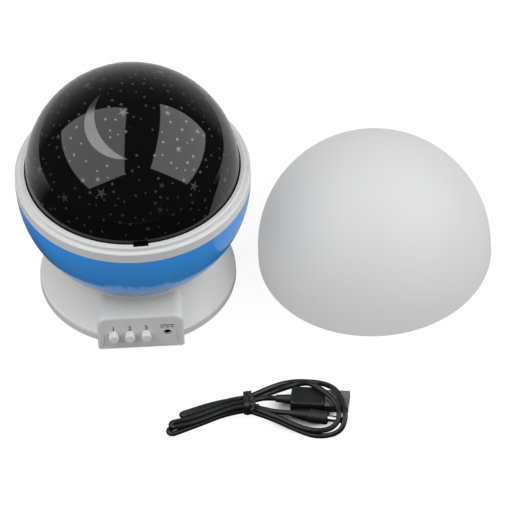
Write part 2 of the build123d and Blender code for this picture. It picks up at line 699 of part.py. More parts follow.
def gearbox():
    """Flat reduction gearbox with two ears and a bearing nose through the platform."""
    plan = RectangleRounded(GEARBOX_L, GEARBOX_D, GEARBOX_CORNER)
    body = extrude(plan, GEARBOX_H)
    body = chamfer(body.edges().group_by(Axis.Z)[-1], GEARBOX_EDGE)
    inner = RectangleRounded(
        GEARBOX_L - 2 * GEARBOX_SEAM, GEARBOX_D - 2 * GEARBOX_SEAM, GEARBOX_CORNER - GEARBOX_SEAM
    )
    body -= Pos(0, 0, GEARBOX_H / 2) * extrude(plan - inner, GEARBOX_SEAM)
    body += extrude(SlotOverall(2 * (EAR_AT + EAR_R), 2 * EAR_R), EAR_T)
    for side in (-1, 1):
        body -= rod(TURRET_SCREW_R, -PAST, EAR_T + PAST, side * EAR_AT, 0)
    body += rod(NOSE_R, -PLATFORM_T, EAR_T)
    body -= rod(SHAFT_R + RUN, -PLATFORM_T - PAST, GEARBOX_H * SHAFT_IN)
    return Pos(0, CENTRE_DIST, PLATFORM_TOP) * body


def motor_screws():
    """Screws through the gearbox's ears, down into the platform."""
    seat, tip = PLATFORM_TOP + EAR_T, PLATFORM_Z + FIT
    places = (-EAR_AT, EAR_AT)
    return separate([screw(x, CENTRE_DIST, seat, tip, TURRET_SCREW_R) for x in places])


def motor_can():
    """Round motor with two flats and its terminals."""
    can = extrude(Circle(MOTOR_R) & Rectangle(4 * MOTOR_R, 2 * MOTOR_FLAT), MOTOR_L)
    can = chamfer(can.edges().group_by(Axis.Z)[-1], MOTOR_EDGE)
    can += rod(MOTOR_BOSS_R, 0, MOTOR_L + MOTOR_BOSS_H)
    half_t, half_w = TERMINAL_T / 2, TERMINAL_W / 2
    for x in (-TERMINAL_X, TERMINAL_X):
        can += block((x - half_t, -half_w, 0), (x + half_t, half_w, MOTOR_L + TERMINAL_H))
    return Pos(0, CENTRE_DIST, PLATFORM_TOP + GEARBOX_H) * can


def motor_shaft():
    top = PLATFORM_TOP + GEARBOX_H * SHAFT_IN - GAP
    return rod(SHAFT_R, FLOOR_TOP + PINION_LIFT, top, 0, CENTRE_DIST)


def involute(cosine):
    """Involute function of the pressure angle that has this cosine."""
    return sqrt(1 / cosine**2 - 1) - acos(cosine)


def tooth_half_angle(teeth, radius, play):
    """Half the angle that a tooth spans at a radius, less play on the pitch circle."""
    pitch = MODULE * teeth / 2
    base = pitch * cos(radians(PRESSURE))
    at_pitch = pi / (2 * teeth) + involute(base / pitch)
    return at_pitch - involute(min(1.0, base / max(radius, base))) - play / pitch


def gear_outline(teeth, root, tip, play, steps):
    """Closed outline of a gear: on each tooth both involute flanks, from root to tip."""
    radii = [root + (tip - root) * s / steps for s in range(steps + 1)]
    points = []
    for i in range(teeth):
        middle = 2 * pi * i / teeth
        for side, order in ((-1, radii), (1, radii[::-1])):
            for r in order:
                angle = middle + side * tooth_half_angle(teeth, r, play)
                points.append((r * cos(angle), r * sin(angle)))
    return make_face(Polyline(*points, close=True))


def ring_gear():
    """Internal gear with a screwed flange, fixed to the bowl's floor."""
    pitch = MODULE * RING_TEETH / 2
    spaces = gear_outline(RING_TEETH, pitch - RING_ADD, GEAR_ROOT_R, -BACKLASH / 2, 2)
    gear = rod(GEAR_ROOT_R + GEAR_RIM, FLOOR_TOP, FLOOR_TOP + GEAR_H)
    gear += rod(GEAR_FLANGE_R, FLOOR_TOP, FLOOR_TOP + GEAR_FLANGE_T)
    gear -= Pos(0, 0, FLOOR_TOP - PAST) * extrude(spaces, GEAR_H + 2 * PAST)
    for angle in GEAR_SCREW_ANGLES:
        place = polar(GEAR_SCREW_AT, angle)
        gear -= rod(TURRET_SCREW_R, FLOOR_TOP - PAST, FLOOR_TOP + GEAR_H, *place)
    return gear


def gear_screws():
    seat, tip = FLOOR_TOP + GEAR_FLANGE_T, FLOOR_Z + GEAR_SCREW_SKIN
    head = (GEAR_HEAD_R, GEAR_HEAD_T)
    places = [polar(GEAR_SCREW_AT, a) for a in GEAR_SCREW_ANGLES]
    return separate([screw(x, y, seat, tip, TURRET_SCREW_R, *head) for x, y in places])


def drive_pinion():
    pitch = MODULE * PINION_TEETH / 2
    teeth = gear_outline(PINION_TEETH, pitch - RING_ADD - ROOT_PLAY, pitch + PINION_ADD, BACKLASH / 2, 3)
    gear = extrude(teeth, PINION_H) - rod(SHAFT_R, -PAST, PINION_H + PAST)
    return Pos(0, CENTRE_DIST, FLOOR_TOP + PINION_LIFT) * Rot(0, 0, 90) * gear


def led_riser():
    """Hollow post with fins that carries the light board to the dome's centre."""
    post = tube(RISER_R, RISER_R - RISER_WALL, PLATFORM_TOP, RISER_TOP)
    inside, foot, top = RISER_R - RISER_WALL / 2, RISER_R + FIN_W, PLATFORM_TOP + FIN_H
    side = outline(
        (inside, PLATFORM_TOP),
        (foot, PLATFORM_TOP),
        (foot, PLATFORM_TOP + FIN_FOOT),
        (RISER_R, top),
        (inside, top),
    )
    fin = extrude(side, FIN_T / 2, both=True)
    for angle in FIN_ANGLES:
        post += Rot(0, 0, angle) * fin
    return post + tube(RISER_FLANGE_R, RISER_R - RISER_WALL, RISER_TOP - RISER_FLANGE_T, RISER_TOP)


def led_board():
    return rod(LED_BOARD_R, RISER_TOP, RISER_TOP + BOARD_T)


def led(radius, height, x, y):
    """Round-nosed lamp with a flange at its foot."""
    bottom = RISER_TOP + BOARD_T
    nose_z = bottom + height - radius
    body = rod(radius, bottom, nose_z, x, y) + Pos(x, y, nose_z) * Sphere(radius)
    return body + rod(radius + LED_FLANGE_W, bottom, bottom + LED_FLANGE_T, x, y)


def centre_led():
    return led(CENTRE_LED_R, CENTRE_LED_H, 0, 0)


def colour_leds():
    return separate([led(LED_R, LED_H, *polar(LED_AT, a)) for a in COLOUR_ANGLES])


def light_wire():
    """Wire from the main board, over the battery bay and up the middle to the light board."""
    start_y = BOARD_T - SWITCH_BACK
    height = BAY_TOP + BAY_WALL + WIRE_CLEAR + WIRE_D / 2
    route = FilletPolyline(
        (WIRE_X, start_y, height),
        (WIRE_X, start_y + WIRE_OUT, height),
        (0, WIRE_Y, height),
        (0, WIRE_Y, RISER_TOP),
        radius=list(WIRE_BENDS),
    )
    section = Plane(origin=route @ 0, z_dir=route % 0) * Circle(WIRE_D / 2)
    return sweep(section, path=route)


# ---------------------------------------------------------------- globe
def bowl():
    """Lower half of the globe, with its bearing hub and the upstand for the ring."""
    inner = BOWL_R - WALL
    spigot_out = inner - RUN
    spigot_in = spigot_out - SPIGOT_W
    root_z = RIM_Z - SPIGOT_ROOT
    join_z = root_z - SPIGOT_SLOPE
    join = (circle_radius(inner, GLOBE_Z - join_z), join_z)
    rim = (circle_radius(BOWL_R, GLOBE_Z - RIM_Z), RIM_Z)
    floor_in = (circle_radius(inner, GLOBE_Z - FLOOR_TOP), FLOOR_TOP)
    bore, hub_z = JOURNAL_R + RUN, NECK_Z + WASHER_T + FIT
    half_out, half_in = (GLOBE_Z - FLOOR_Z) / 2, (GLOBE_Z - FLOOR_TOP) / 2
    edges = Polyline((bore, FLOOR_TOP), (bore, hub_z), (HUB_R, hub_z), (HUB_R, FLOOR_Z), (FLOOR_R, FLOOR_Z))
    edges += ThreePointArc((FLOOR_R, FLOOR_Z), (circle_radius(BOWL_R, half_out), GLOBE_Z - half_out), rim)
    edges += Polyline(
        rim,
        (spigot_out, RIM_Z),
        (spigot_out, RIM_Z + SPIGOT_H),
        (spigot_in, RIM_Z + SPIGOT_H),
        (spigot_in, root_z),
        join,
    )
    edges += ThreePointArc(join, (circle_radius(inner, half_in), GLOBE_Z - half_in), floor_in)
    edges += Line(floor_in, (bore, FLOOR_TOP))
    shell = turned(Plane.XZ * make_face(edges))
    for angle in GEAR_SCREW_ANGLES:
        place = polar(GEAR_SCREW_AT, angle)
        shell -= rod(TURRET_SCREW_R, FLOOR_Z + GEAR_SCREW_SKIN, FLOOR_TOP + PAST, *place)
    return shell


def ring():
    """White ring with the shade's ledge, the dome's shelf and a groove for the bowl's upstand."""
    groove_out = BOWL_R - WALL + RUN
    groove_in = BOWL_R - WALL - SPIGOT_W - SEAM
    groove_top = RIM_Z + SPIGOT_H + SEAM
    e = RING_EDGE
    body = turned(
        outline(
            (groove_out, RIM_Z),
            (RING_R, RIM_Z),
            (RING_R, LEDGE_Z - e),
            (RING_R - e, LEDGE_Z),
            (SEAT_R, LEDGE_Z),
            (SEAT_R, LIP_Z - e),
            (SEAT_R - e, LIP_Z),
            (LIP_R, LIP_Z),
            (LIP_R, SHELF_Z),
            (SHELF_R, SHELF_Z),
            (SHELF_R, SHELF_UNDER),
            (groove_in, SHELF_UNDER),
            (groove_in, groove_top),
            (groove_out, groove_top),
        )
    )
    half = TAB_W / 2 + GAP
    notch = block((LIP_R - PAST, -half, DOME_Z - FIT), (TAB_OUT + GAP, half, LIP_Z + PAST))
    for angle in TAB_ANGLES:
        body -= Rot(0, 0, angle) * notch
    return body


def reflector_plate():
    """Shallow dish under the dome, fixed to the underside of the ring's shelf."""
    top, out = SHELF_UNDER, BOWL_R - WALL - SPIGOT_W - 2 * SEAM
    return turned(
        outline(
            (out, top),
            (PLATE_FLAT_R, top),
            (PLATE_HOLE_R, top - PLATE_DROP),
            (PLATE_HOLE_R, top - PLATE_DROP - PLATE_T),
            (PLATE_FLAT_R, top - PLATE_T),
            (out, top - PLATE_T),
        )
    )


def half_globe(outer, inner, bottom, centre):
    """Hemispherical shell on an upright rim, from the rim's bottom to the sphere's centre and up."""
    edges = Polyline((inner, centre), (inner, bottom), (outer, bottom), (outer, centre))
    edges += CenterArc((0, centre), outer, 0, 90)
    edges += Line((0, centre + outer), (0, centre + inner))
    edges += CenterArc((0, centre), inner, 0, 90)
    return turned(Plane.XZ * make_face(edges))


def star_dome():
    """Dome with the locating tabs that drop into the ring's notches."""
    dome = half_globe(DOME_R, DOME_R - DOME_WALL, SHELF_Z, DOME_Z)
    tab = block((DOME_R - TAB_ROOT, -TAB_W / 2, DOME_Z), (TAB_OUT, TAB_W / 2, DOME_Z + TAB_T))
    for angle in TAB_ANGLES:
        dome += Rot(0, 0, angle) * tab
    return dome


def night_shade():
    """Frosted half globe, standing on its rim beside the lamp."""
    return Pos(SHADE_X, SHADE_Y, 0) * half_globe(SHADE_R, SHADE_R - SHADE_WALL, 0, SHADE_SKIRT)


# ---------------------------------------------------------------- cable and plugs
def joined_discs(first, first_r, second, second_r):
    """Two discs and the two straight tangents that join them."""
    span = hypot(second[0] - first[0], second[1] - first[1])
    lean = degrees(acos((first_r - second_r) / span))
    corners = [polar(first_r, lean), polar(first_r, -lean)]
    corners += [(span + x, y) for x, y in (polar(second_r, -lean), polar(second_r, lean))]
    face = Circle(first_r) + Pos(span, 0) * Circle(second_r) + make_face(Polyline(*corners, close=True))
    turn = degrees(atan2(second[1] - first[1], second[0] - first[0]))
    return Pos(*first) * Rot(0, 0, turn) * face


def spot(centre, radius, angle):
    """Place at a distance and an angle from a centre."""
    x, y = polar(radius, angle)
    return (centre[0] + x, centre[1] + y)


def arc(centre, radius, start, stop):
    """Arc about a centre, from one angle to another."""
    return ThreePointArc(*(spot(centre, radius, a) for a in (start, (start + stop) / 2, stop)))


def tangent_angle(first, first_r, second, second_r, side):
    """Angle of the radius on which a line touches two circles; side is 1 for the left line."""
    dx, dy = second[0] - first[0], second[1] - first[1]
    return degrees(atan2(dy, dx)) + side * degrees(acos((first_r - second_r) / hypot(dx, dy)))


def loop_face(start, start_r, inset):
    """Teardrop from a small circle at the tie round the loop and its tighter toe."""
    loop = (LOOP_X, LOOP_Y)
    toe = spot(loop, LOOP_R - TOE_R, TOE_ANGLE)
    loop_r, toe_r = LOOP_R - inset, TOE_R - inset
    upper = tangent_angle(start, start_r, loop, loop_r, 1)
    lower = tangent_angle(start, start_r, toe, toe_r, -1)
    edges = arc(loop, loop_r, upper, TOE_ANGLE)
    edges += arc(toe, toe_r, TOE_ANGLE, lower)
    edges += Line(spot(toe, toe_r, lower), spot(start, start_r, lower))
    edges += arc(start, start_r, lower, upper - 360)
    edges += Line(spot(start, start_r, upper), spot(loop, loop_r, upper))
    return make_face(edges)


def loop_side():
    """Side view of the loop: down from the tie, flat on the table and up over the plugs."""
    far, lead = LOOP_X + 2 * LOOP_R, LOOP_H / 2
    top = TUNNEL_H + LOOP_H
    return outline(
        (TIE_X - TIE_HALF, 0),
        (RAMP_X, 0),
        (BRIDGE_X, TUNNEL_H),
        (far, TUNNEL_H),
        (far, top),
        (BRIDGE_X - lead, top),
        (RAMP_X - lead, LOOP_H),
        (TIE_X + LOOP_START, LOOP_H),
        (TIE_X + LEAD_IN, HANK_H),
        (TIE_X - TIE_HALF, HANK_H),
    )


def cord_hank():
    """Outer shape of the tied strands: a teardrop loop on one side of the tie, two folds on the other."""
    tie = (TIE_X, TIE_Y)
    hole = loop_face((TIE_X + LOOP_START, TIE_Y - LOOP_SLIP), PAST, LOOP_BAND)
    band = loop_face(tie, LOOP_ROOT, 0) - hole
    side = Pos(0, LOOP_Y, 0) * extrude(loop_side(), 2 * LOOP_R, both=True)
    body = extrude(band, 2 * HANK_H) & side
    for x, y, radius in (LONG_FOLD, SHORT_FOLD):
        body += extrude(joined_discs(tie, TIE_HALF, (x, y), radius), HANK_H)
    body = body - tie_space(TIE_T + PAST) + tie_space(0)
    body += lead(USB_X, USB_Y, USB_TURN, USB_L + USB_NECK_L, USB_H / 2, USB_LEAD_END)
    return body + lead(PLUG_X, PLUG_Y, PLUG_TURN, PLUG_L + PLUG_NECK_L, PLUG_R, PLUG_LEAD_END)


def lead(x, y, turn, back, height, end):
    """Straight stretch of cord from the back of a plug into the bundle at the tie."""
    start = (x - back * cos(radians(turn)), y - back * sin(radians(turn)))
    span = hypot(end[0] - start[0], end[1] - start[1])
    heading = degrees(atan2(end[1] - start[1], end[0] - start[0]))
    return Location((*start, 0), (0, 0, heading)) * along_x(CORD_D / 2, 0, span, height)


def tie_space(grow):
    """Block round the strands at the tie, grown by the tie's thickness."""
    half_x, half_y = TIE_W / 2, BUNDLE_HALF + grow
    low = (TIE_X - half_x, TIE_Y - half_y, TIE_T - grow)
    return block(low, (TIE_X + half_x, TIE_Y + half_y, TIE_T + HANK_H + grow))


def cable_tie():
    """Flat tie round the bundle, its two ends twisted together on top."""
    band = fillet(tie_space(TIE_T).edges().filter_by(Axis.X), TIE_EDGE) - tie_space(0)
    tail = along_x(TAIL_R, 0, TAIL_L, TIE_T + HANK_H + TAIL_R)
    return band + Location((TIE_X, TIE_Y, 0), (0, 0, TAIL_TURN)) * tail


def usb_place():
    return Location((USB_X, USB_Y, 0), (0, 0, USB_TURN))


def plug_place():
    return Location((PLUG_X, PLUG_Y, 0), (0, 0, PLUG_TURN))


def usb_grip():
    """Moulded grip, flat on the table, with a tapered strain relief behind it."""
    z = USB_H / 2
    body = Pos(-USB_L / 2, 0, z) * Box(USB_L, USB_W, USB_H)
    body = fillet(body.edges().filter_by(Axis.Z), USB_CORNER)
    body = fillet(body.faces().sort_by(Axis.Z)[-1].edges(), USB_EDGE)
    neck = cone_along_x(CORD_D / 2 + USB_NECK_SKIN, USB_NECK_R, -USB_L - USB_NECK_L, FIT - USB_L, z)
    return usb_place() * (body + neck)


def usb_shell():
    """Folded metal sleeve with its four latch windows."""
    middle, z = USB_SHELL_L / 2, USB_H / 2
    sleeve = Pos(middle, 0, z) * Box(USB_SHELL_L, USB_SHELL_W, USB_SHELL_H)
    inner_w, inner_h = USB_SHELL_W - 2 * USB_SHELL_T, USB_SHELL_H - 2 * USB_SHELL_T
    sleeve -= Pos(middle, 0, z) * Box(USB_SHELL_L + 2 * PAST, inner_w, inner_h)
    for y in (-USB_WINDOW_Y, USB_WINDOW_Y):
        sleeve -= Pos(USB_WINDOW_X, y, z) * Box(USB_WINDOW_L, USB_WINDOW_W, USB_SHELL_H + PAST)
    return usb_place() * sleeve


def usb_tongue():
    """Insulating tongue with its four contact grooves, on the lower wall of the sleeve."""
    length, width = USB_SHELL_L - USB_TONGUE_IN, USB_SHELL_W - 2 * USB_SHELL_T - FIT
    z = USB_H / 2 - USB_SHELL_H / 2 + USB_SHELL_T + USB_TONGUE_H / 2
    tongue = Pos(length / 2, 0, z) * Box(length, width, USB_TONGUE_H)
    for y in USB_PIN_Y:
        groove = Box(USB_PIN_L, USB_PIN_W, 2 * USB_PIN_T)
        tongue -= Pos(length - USB_PIN_L / 2, y, z + USB_TONGUE_H / 2) * groove
    return usb_place() * tongue


def plug_grip():
    """Moulded grip with a ribbed strain relief behind it."""
    z, back = PLUG_R, -PLUG_L - PLUG_NECK_L
    body = fillet(along_x(PLUG_R, -PLUG_L, 0, z).edges(), PLUG_EDGE)
    body += cone_along_x(CORD_D / 2 + PLUG_NECK_SKIN, PLUG_NECK_R, back, FIT - PLUG_L, z)
    pitch = PLUG_NECK_L / (PLUG_RIBS + 1)
    for i in range(PLUG_RIBS):
        start = -PLUG_L - (i + 1) * pitch
        body += along_x(PLUG_NECK_R + PLUG_RIB_OUT - i * PLUG_RIB_TAPER, start, start + pitch / 2, z)
    return plug_place() * body


def plug_barrel():
    """Metal barrel of 3.5 mm, hollow for the socket's pin."""
    barrel = along_x(BARREL_R, 0, BARREL_L, PLUG_R)
    barrel -= along_x(BARREL_BORE_R, BARREL_BACK, BARREL_L + PAST, PLUG_R)
    barrel = chamfer(barrel.edges().sort_by(Axis.X)[-2:], BARREL_EDGE)
    return plug_place() * barrel


# ---------------------------------------------------------------- nodes
NODES = {
    "base_shell": base_shell(),
    "bottom_cover": bottom_cover(),
    "foot_ring": foot_ring(),
    "cover_screws": cover_screws(),
    "battery_door": battery_door(),
    "door_screw": door_screw(),
    "battery_cells": battery_cells(),
    "battery_contacts": battery_contacts(),
    "main_board": main_board(),
    "tact_switches": tact_switches(),
    "dc_jack": dc_jack(),
    "turret": turret(),
    "turret_screws": turret_screws(),
    "slip_washer": slip_washer(),
    "gearbox": gearbox(),
    "motor_screws": motor_screws(),
    "motor_can": motor_can(),
    "motor_shaft": motor_shaft(),
    "drive_pinion": drive_pinion(),
    "led_riser": led_riser(),
    "led_board": led_board(),
    "centre_led": centre_led(),
    "colour_leds": colour_leds(),
    "light_wire": light_wire(),
    "bowl": bowl(),
    "ring": ring(),
    "ring_gear": ring_gear(),
    "gear_screws": gear_screws(),
    "reflector_plate": reflector_plate(),
    "star_dome": star_dome(),
    "night_shade": night_shade(),
    "cord_hank": cord_hank(),
    "cable_tie": cable_tie(),
    "usb_grip": usb_grip(),
    "usb_shell": usb_shell(),
    "usb_tongue": usb_tongue(),
    "plug_grip": plug_grip(),
    "plug_barrel": plug_barrel(),
}
for number, x in enumerate(BUTTON_X, start=1):
    NODES[f"button_{number}"] = button(x)
    NODES[f"plunger_{number}"] = plunger(x)

os.makedirs("parts", exist_ok=True)
for name, shape in NODES.items():
    export_step(shape, f"parts/{name}.step")
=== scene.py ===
# %% [markdown]
# # Star night light projector
# The object is a lamp whose globe turns on a round base. The globe's lower half is a glossy blue
# bowl, its waist a white ring, and its upper half a black dome that throws stars. A frosted half
# globe lies beside it, and a power cable lies tied in front of it. The rigid pieces come from the
# CAD frame at their real size, so this lesson gives them their finishes and adds what a frame
# can't hold: the cable's own line, the twisted tie, the print on the dome and the light.

import bpy
import numpy as np
from mathutils import Matrix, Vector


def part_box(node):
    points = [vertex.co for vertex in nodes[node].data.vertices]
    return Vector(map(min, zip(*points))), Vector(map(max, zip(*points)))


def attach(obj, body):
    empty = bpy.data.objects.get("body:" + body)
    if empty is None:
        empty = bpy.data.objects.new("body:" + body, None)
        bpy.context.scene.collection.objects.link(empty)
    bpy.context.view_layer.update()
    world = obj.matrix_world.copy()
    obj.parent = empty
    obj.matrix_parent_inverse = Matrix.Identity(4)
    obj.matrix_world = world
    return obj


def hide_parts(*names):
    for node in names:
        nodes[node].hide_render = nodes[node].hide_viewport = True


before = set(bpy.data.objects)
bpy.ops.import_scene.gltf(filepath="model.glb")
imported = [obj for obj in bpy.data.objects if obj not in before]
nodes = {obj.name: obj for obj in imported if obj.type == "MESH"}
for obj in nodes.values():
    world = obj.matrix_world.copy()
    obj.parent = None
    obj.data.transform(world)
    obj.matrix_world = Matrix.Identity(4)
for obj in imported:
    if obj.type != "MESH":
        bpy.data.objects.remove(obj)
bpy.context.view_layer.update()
MM = 0.001

# %% [markdown]
# ## Camera
# A product picture is usually taken from far away with a long lens, so that the round
# shapes keep their proportions. The camera could be aimed with a constraint, but a matrix made of
# its three axes is exact and is easy to read: right, up, and back towards the camera.

# %% Camera
CAMERA_RISE = np.radians(45.5)
CAMERA_ROLL = np.radians(2.9)
CAMERA_AWAY = 12.0              # metres, far enough for a view that is nearly parallel
CAMERA_SENSOR = 36.0
PICTURE_WIDTH = 271.7           # millimetres of table across the picture
CAMERA_LENS = CAMERA_SENSOR * CAMERA_AWAY / (PICTURE_WIDTH * MM)
PICTURE_CENTRE = (62.55, 10.8, 0.0)


def new_object(name, data):
    """An object that holds the data, linked to the scene."""
    made = bpy.data.objects.new(name, data)
    bpy.context.scene.collection.objects.link(made)
    return made


def place_by_axes(thing, axes, at):
    """Puts an object at a place, its x, y and z along the columns of axes."""
    place = np.eye(4)
    place[:3, :3] = axes
    place[:3, 3] = at
    thing.matrix_world = Matrix(place)


def camera_axes(rise, roll):
    """Columns right, up and back: the view looks down by rise, then rolls about its own line."""
    right = (np.cos(roll), -np.sin(roll) * np.sin(rise), -np.sin(roll) * np.cos(rise))
    up = (np.sin(roll), np.cos(roll) * np.sin(rise), np.cos(roll) * np.cos(rise))
    back = (0.0, -np.cos(rise), np.sin(rise))
    return np.array([right, up, back]).T


camera = new_object("camera", bpy.data.cameras.new("camera"))
camera.data.lens, camera.data.sensor_width = CAMERA_LENS, CAMERA_SENSOR
axes = camera_axes(CAMERA_RISE, CAMERA_ROLL)
place_by_axes(camera, axes, np.array(PICTURE_CENTRE) * MM + CAMERA_AWAY * axes[:, 2])
bpy.context.scene.camera = camera
print("camera at", tuple(round(v, 2) for v in camera.location), "with a lens of", round(CAMERA_LENS), "mm")

# %% [markdown]
# ## Cable route
# The cable leaves the round plug, runs through the tie, folds back three times on the left and
# goes twice round the loop on the right, over the two plugs, before it ends in the flat plug. It
# could be a tube swept through measured points, but a NURBS curve with few control points bends
# as a real cable does. Each stretch is a list of control points in millimetres, given one by one:
# strands lie beside each other or rest on the ones below, and the turns climb over the plugs in
# one long low hump.

# %% Cable route
CORD_D = 2.9
TIE_AT = (54.5, -103.0)
TIE_LIFT = 0.9                  # the tie's band runs under the strands
STRAND = 3.1                    # strands beside each other at the tie
LOW = CORD_D / 2                # centre line of a strand on the table
HIGH = 1.5 * CORD_D             # and of one that lies on another
PLUG_END = (76.8, -110.9, 3.6)  # where the cable goes into the grip of each plug
USB_END = (69.8, -99.95, 3.8)


def slot(across, level):
    """Place of a strand inside the tie: three across, two levels."""
    return (TIE_AT[0], TIE_AT[1] + across * STRAND, TIE_LIFT + (LOW, HIGH)[level])


PLUG_LEAD = [PLUG_END, (73.0, -109.9, 3.1), (67.0, -107.6, 2.2), (60.5, -104.8, 2.1), slot(0, 0)]
LOWER_FOLD = [
    (48.5, -102.6, 1.8), (41.0, -103.9, LOW), (30.5, -108.5, LOW), (21.0, -112.7, LOW),
    (14.8, -115.5, LOW), (12.4, -116.6, LOW), (12.2, -118.8, LOW), (14.1, -120.1, LOW),
    (16.5, -119.1, LOW), (22.0, -116.7, LOW), (29.5, -113.4, LOW), (40.0, -108.4, LOW),
    (47.8, -106.5, 1.7), slot(-1, 0),
]
OUTER_TURN = [
    (59.0, -108.3, 1.9), (64.5, -110.8, 1.5), (70.5, -114.5, LOW), (77.0, -119.3, LOW),
    (83.5, -123.8, LOW), (89.0, -126.6, LOW), (94.5, -127.3, 1.6), (99.8, -127.1, 2.6),
    (103.9, -125.4, 4.5), (105.7, -121.5, 7.3), (105.9, -116.8, 8.1), (105.3, -111.5, 7.9),
    (104.3, -106.0, 7.9), (102.0, -100.5, 7.8), (98.6, -95.8, 7.0), (94.0, -90.4, 3.8),
    (88.5, -87.4, 2.0), (81.5, -86.0, LOW), (74.0, -87.0, 1.6), (66.8, -92.0, 3.8),
    (60.2, -96.4, 4.8), slot(1, 1),
]
SHORT_FOLD = [
    (49.0, -100.2, 5.0), (43.0, -101.3, 4.7), (34.0, -104.5, 4.1), (28.0, -106.8, 3.9),
    (23.4, -108.5, 3.75), (21.1, -109.3, 3.5), (19.4, -108.0, 2.75), (19.8, -106.0, 1.95),
    (22.0, -105.0, 1.6), (27.5, -102.7, LOW), (34.5, -100.2, LOW), (43.0, -98.1, 1.5),
    (49.0, -98.2, 1.9), slot(1, 0),
]
INNER_TURN = [
    (60.0, -97.2, 2.1), (66.5, -93.6, 1.5), (73.0, -91.0, 1.5), (79.2, -90.0, 2.8),
    (83.9, -91.3, 5.4), (87.8, -94.4, 8.4), (91.5, -98.1, 9.4), (95.0, -101.5, 9.3),
    (98.5, -105.4, 9.0), (101.2, -109.8, 8.4), (102.6, -114.5, 8.0), (102.8, -118.8, 7.8),
    (101.4, -122.4, 5.8), (97.6, -125.0, 4.3), (91.8, -126.0, 4.2), (85.0, -124.4, 4.3),
    (78.0, -120.1, HIGH), (71.0, -115.0, 4.4), (64.5, -111.2, 4.45), (59.5, -108.4, 4.8),
    slot(-1, 1),
]
UPPER_FOLD = [
    (48.0, -106.2, 4.8), (41.0, -108.4, 4.4), (31.0, -113.1, HIGH), (22.5, -116.4, HIGH),
    (17.5, -117.4, 4.25), (14.9, -117.8, 4.1), (13.5, -116.3, 4.0), (14.1, -114.4, 4.1),
    (16.6, -113.9, 4.25), (22.5, -112.6, HIGH), (31.0, -109.4, HIGH), (41.0, -105.0, 4.45),
    (48.5, -103.3, 4.95), slot(0, 1),
]
USB_LEAD = [(60.0, -100.8, 4.8), (65.2, -99.3, 4.0), USB_END]
ROUTE = PLUG_LEAD + LOWER_FOLD + OUTER_TURN + SHORT_FOLD + INNER_TURN + UPPER_FOLD + USB_LEAD
print("cable route:", len(ROUTE), "control points")

# %% [markdown]
# ## Cable
# The curve is given a round section with a bevel, which keeps the cable light and its line easy
# to change. It stands in for the frame's plain tube.

# %% Cable
SECTION_STEPS = 4               # of a quarter of the round section
SPAN_STEPS = 8                  # from one control point to the next


def make_cable(points):
    """A NURBS curve of order 3, round in section. Its material is there from the start."""
    curve = bpy.data.curves.new("power_cable", "CURVE")
    curve.materials.append(bpy.data.materials.new("cable_cover"))
    curve.dimensions = "3D"
    curve.bevel_depth = CORD_D / 2 * MM
    curve.bevel_resolution = SECTION_STEPS
    curve.use_fill_caps = True
    spline = curve.splines.new("NURBS")
    spline.points.add(len(points) - 1)
    flat = np.ones((len(points), 4))
    flat[:, :3] = np.array(points) * MM
    spline.points.foreach_set("co", flat.ravel())
    spline.order_u = 3
    spline.use_endpoint_u = True
    spline.resolution_u = SPAN_STEPS
    return new_object("power_cable", curve)


cable = make_cable(ROUTE)
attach(cable, "base")
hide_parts("cord_hank")

# %% [markdown]
# ## Helpers for surfaces
# A new piece is worked out as whole arrays: a grid of points from two parameters, and quads that
# join neighbours in the grid. The same helpers serve the tie, the print, the marks and the stage.

# %% Surface helpers
SHARP_ANGLE = np.radians(35.0)


def grid_quads(rows, columns, wrap_rows=False, wrap_columns=False):
    """Quads of a grid of points numbered row by row, facing along row x column."""
    r = np.arange(rows if wrap_rows else rows - 1)[:, None]
    c = np.arange(columns if wrap_columns else columns - 1)[None, :]
    below, beside = (r + 1) % rows, (c + 1) % columns
    quads = [r * columns + c, below * columns + c, below * columns + beside, r * columns + beside]
    return np.stack([np.broadcast_to(q, (r.size, c.size)) for q in quads], axis=-1).reshape(-1, 4)


def join_parts(parts):
    """Several (points, faces) as one: face numbers are shifted past the points before them."""
    all_points, all_faces, start = [], [], 0
    for points, faces in parts:
        all_points.append(points)
        all_faces += [[int(v) + start for v in face] for face in faces]
        start += len(points)
    return np.concatenate(all_points), all_faces


def mesh_from(name, points, faces):
    """A mesh from points in millimetres."""
    mesh = bpy.data.meshes.new(name)
    mesh.from_pydata((np.asarray(points) * MM).tolist(), [], [list(map(int, f)) for f in faces])
    return mesh


def dressed_piece(name, mesh, body, material):
    """An object that rides on a body, with its own material."""
    piece = new_object(name, mesh)
    mesh.materials.clear()
    mesh.materials.append(material)
    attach(piece, body)
    return piece


def smooth_piece(name, points, faces, body, material_slot, material):
    """A piece that is smooth up to an angle."""
    mesh = mesh_from(name, points, faces)
    mesh.shade_smooth()
    mesh.set_sharp_from_angle(angle=SHARP_ANGLE)
    return dressed_piece(name, mesh, body, material)


print("a grid of 3 x 4 points has", len(grid_quads(3, 4)), "quads")

# %% [markdown]
# ## Helpers for shader nodes
# A pattern is a chain of small nodes. Each could be made and linked in place, but with a helper
# for each kind, which takes a socket or a plain number alike, a formula reads like one.

# %% Node helpers
def put(tree, socket, value):
    """Feeds a socket from another one, or gives it a plain value."""
    if isinstance(value, bpy.types.NodeSocket):
        tree.links.new(value, socket)
    else:
        socket.default_value = value


def feed(tree, node, **values):
    """Feeds a node's inputs by their names, and gives its outputs."""
    for label, value in values.items():
        put(tree, node.inputs[label.replace("_", " ")], value)
    return node.outputs


def math_node(tree, operation, first, second):
    """A math node of two numbers."""
    node = tree.nodes.new("ShaderNodeMath")
    node.operation = operation
    put(tree, node.inputs[0], first)
    put(tree, node.inputs[1], second)
    return node.outputs["Value"]


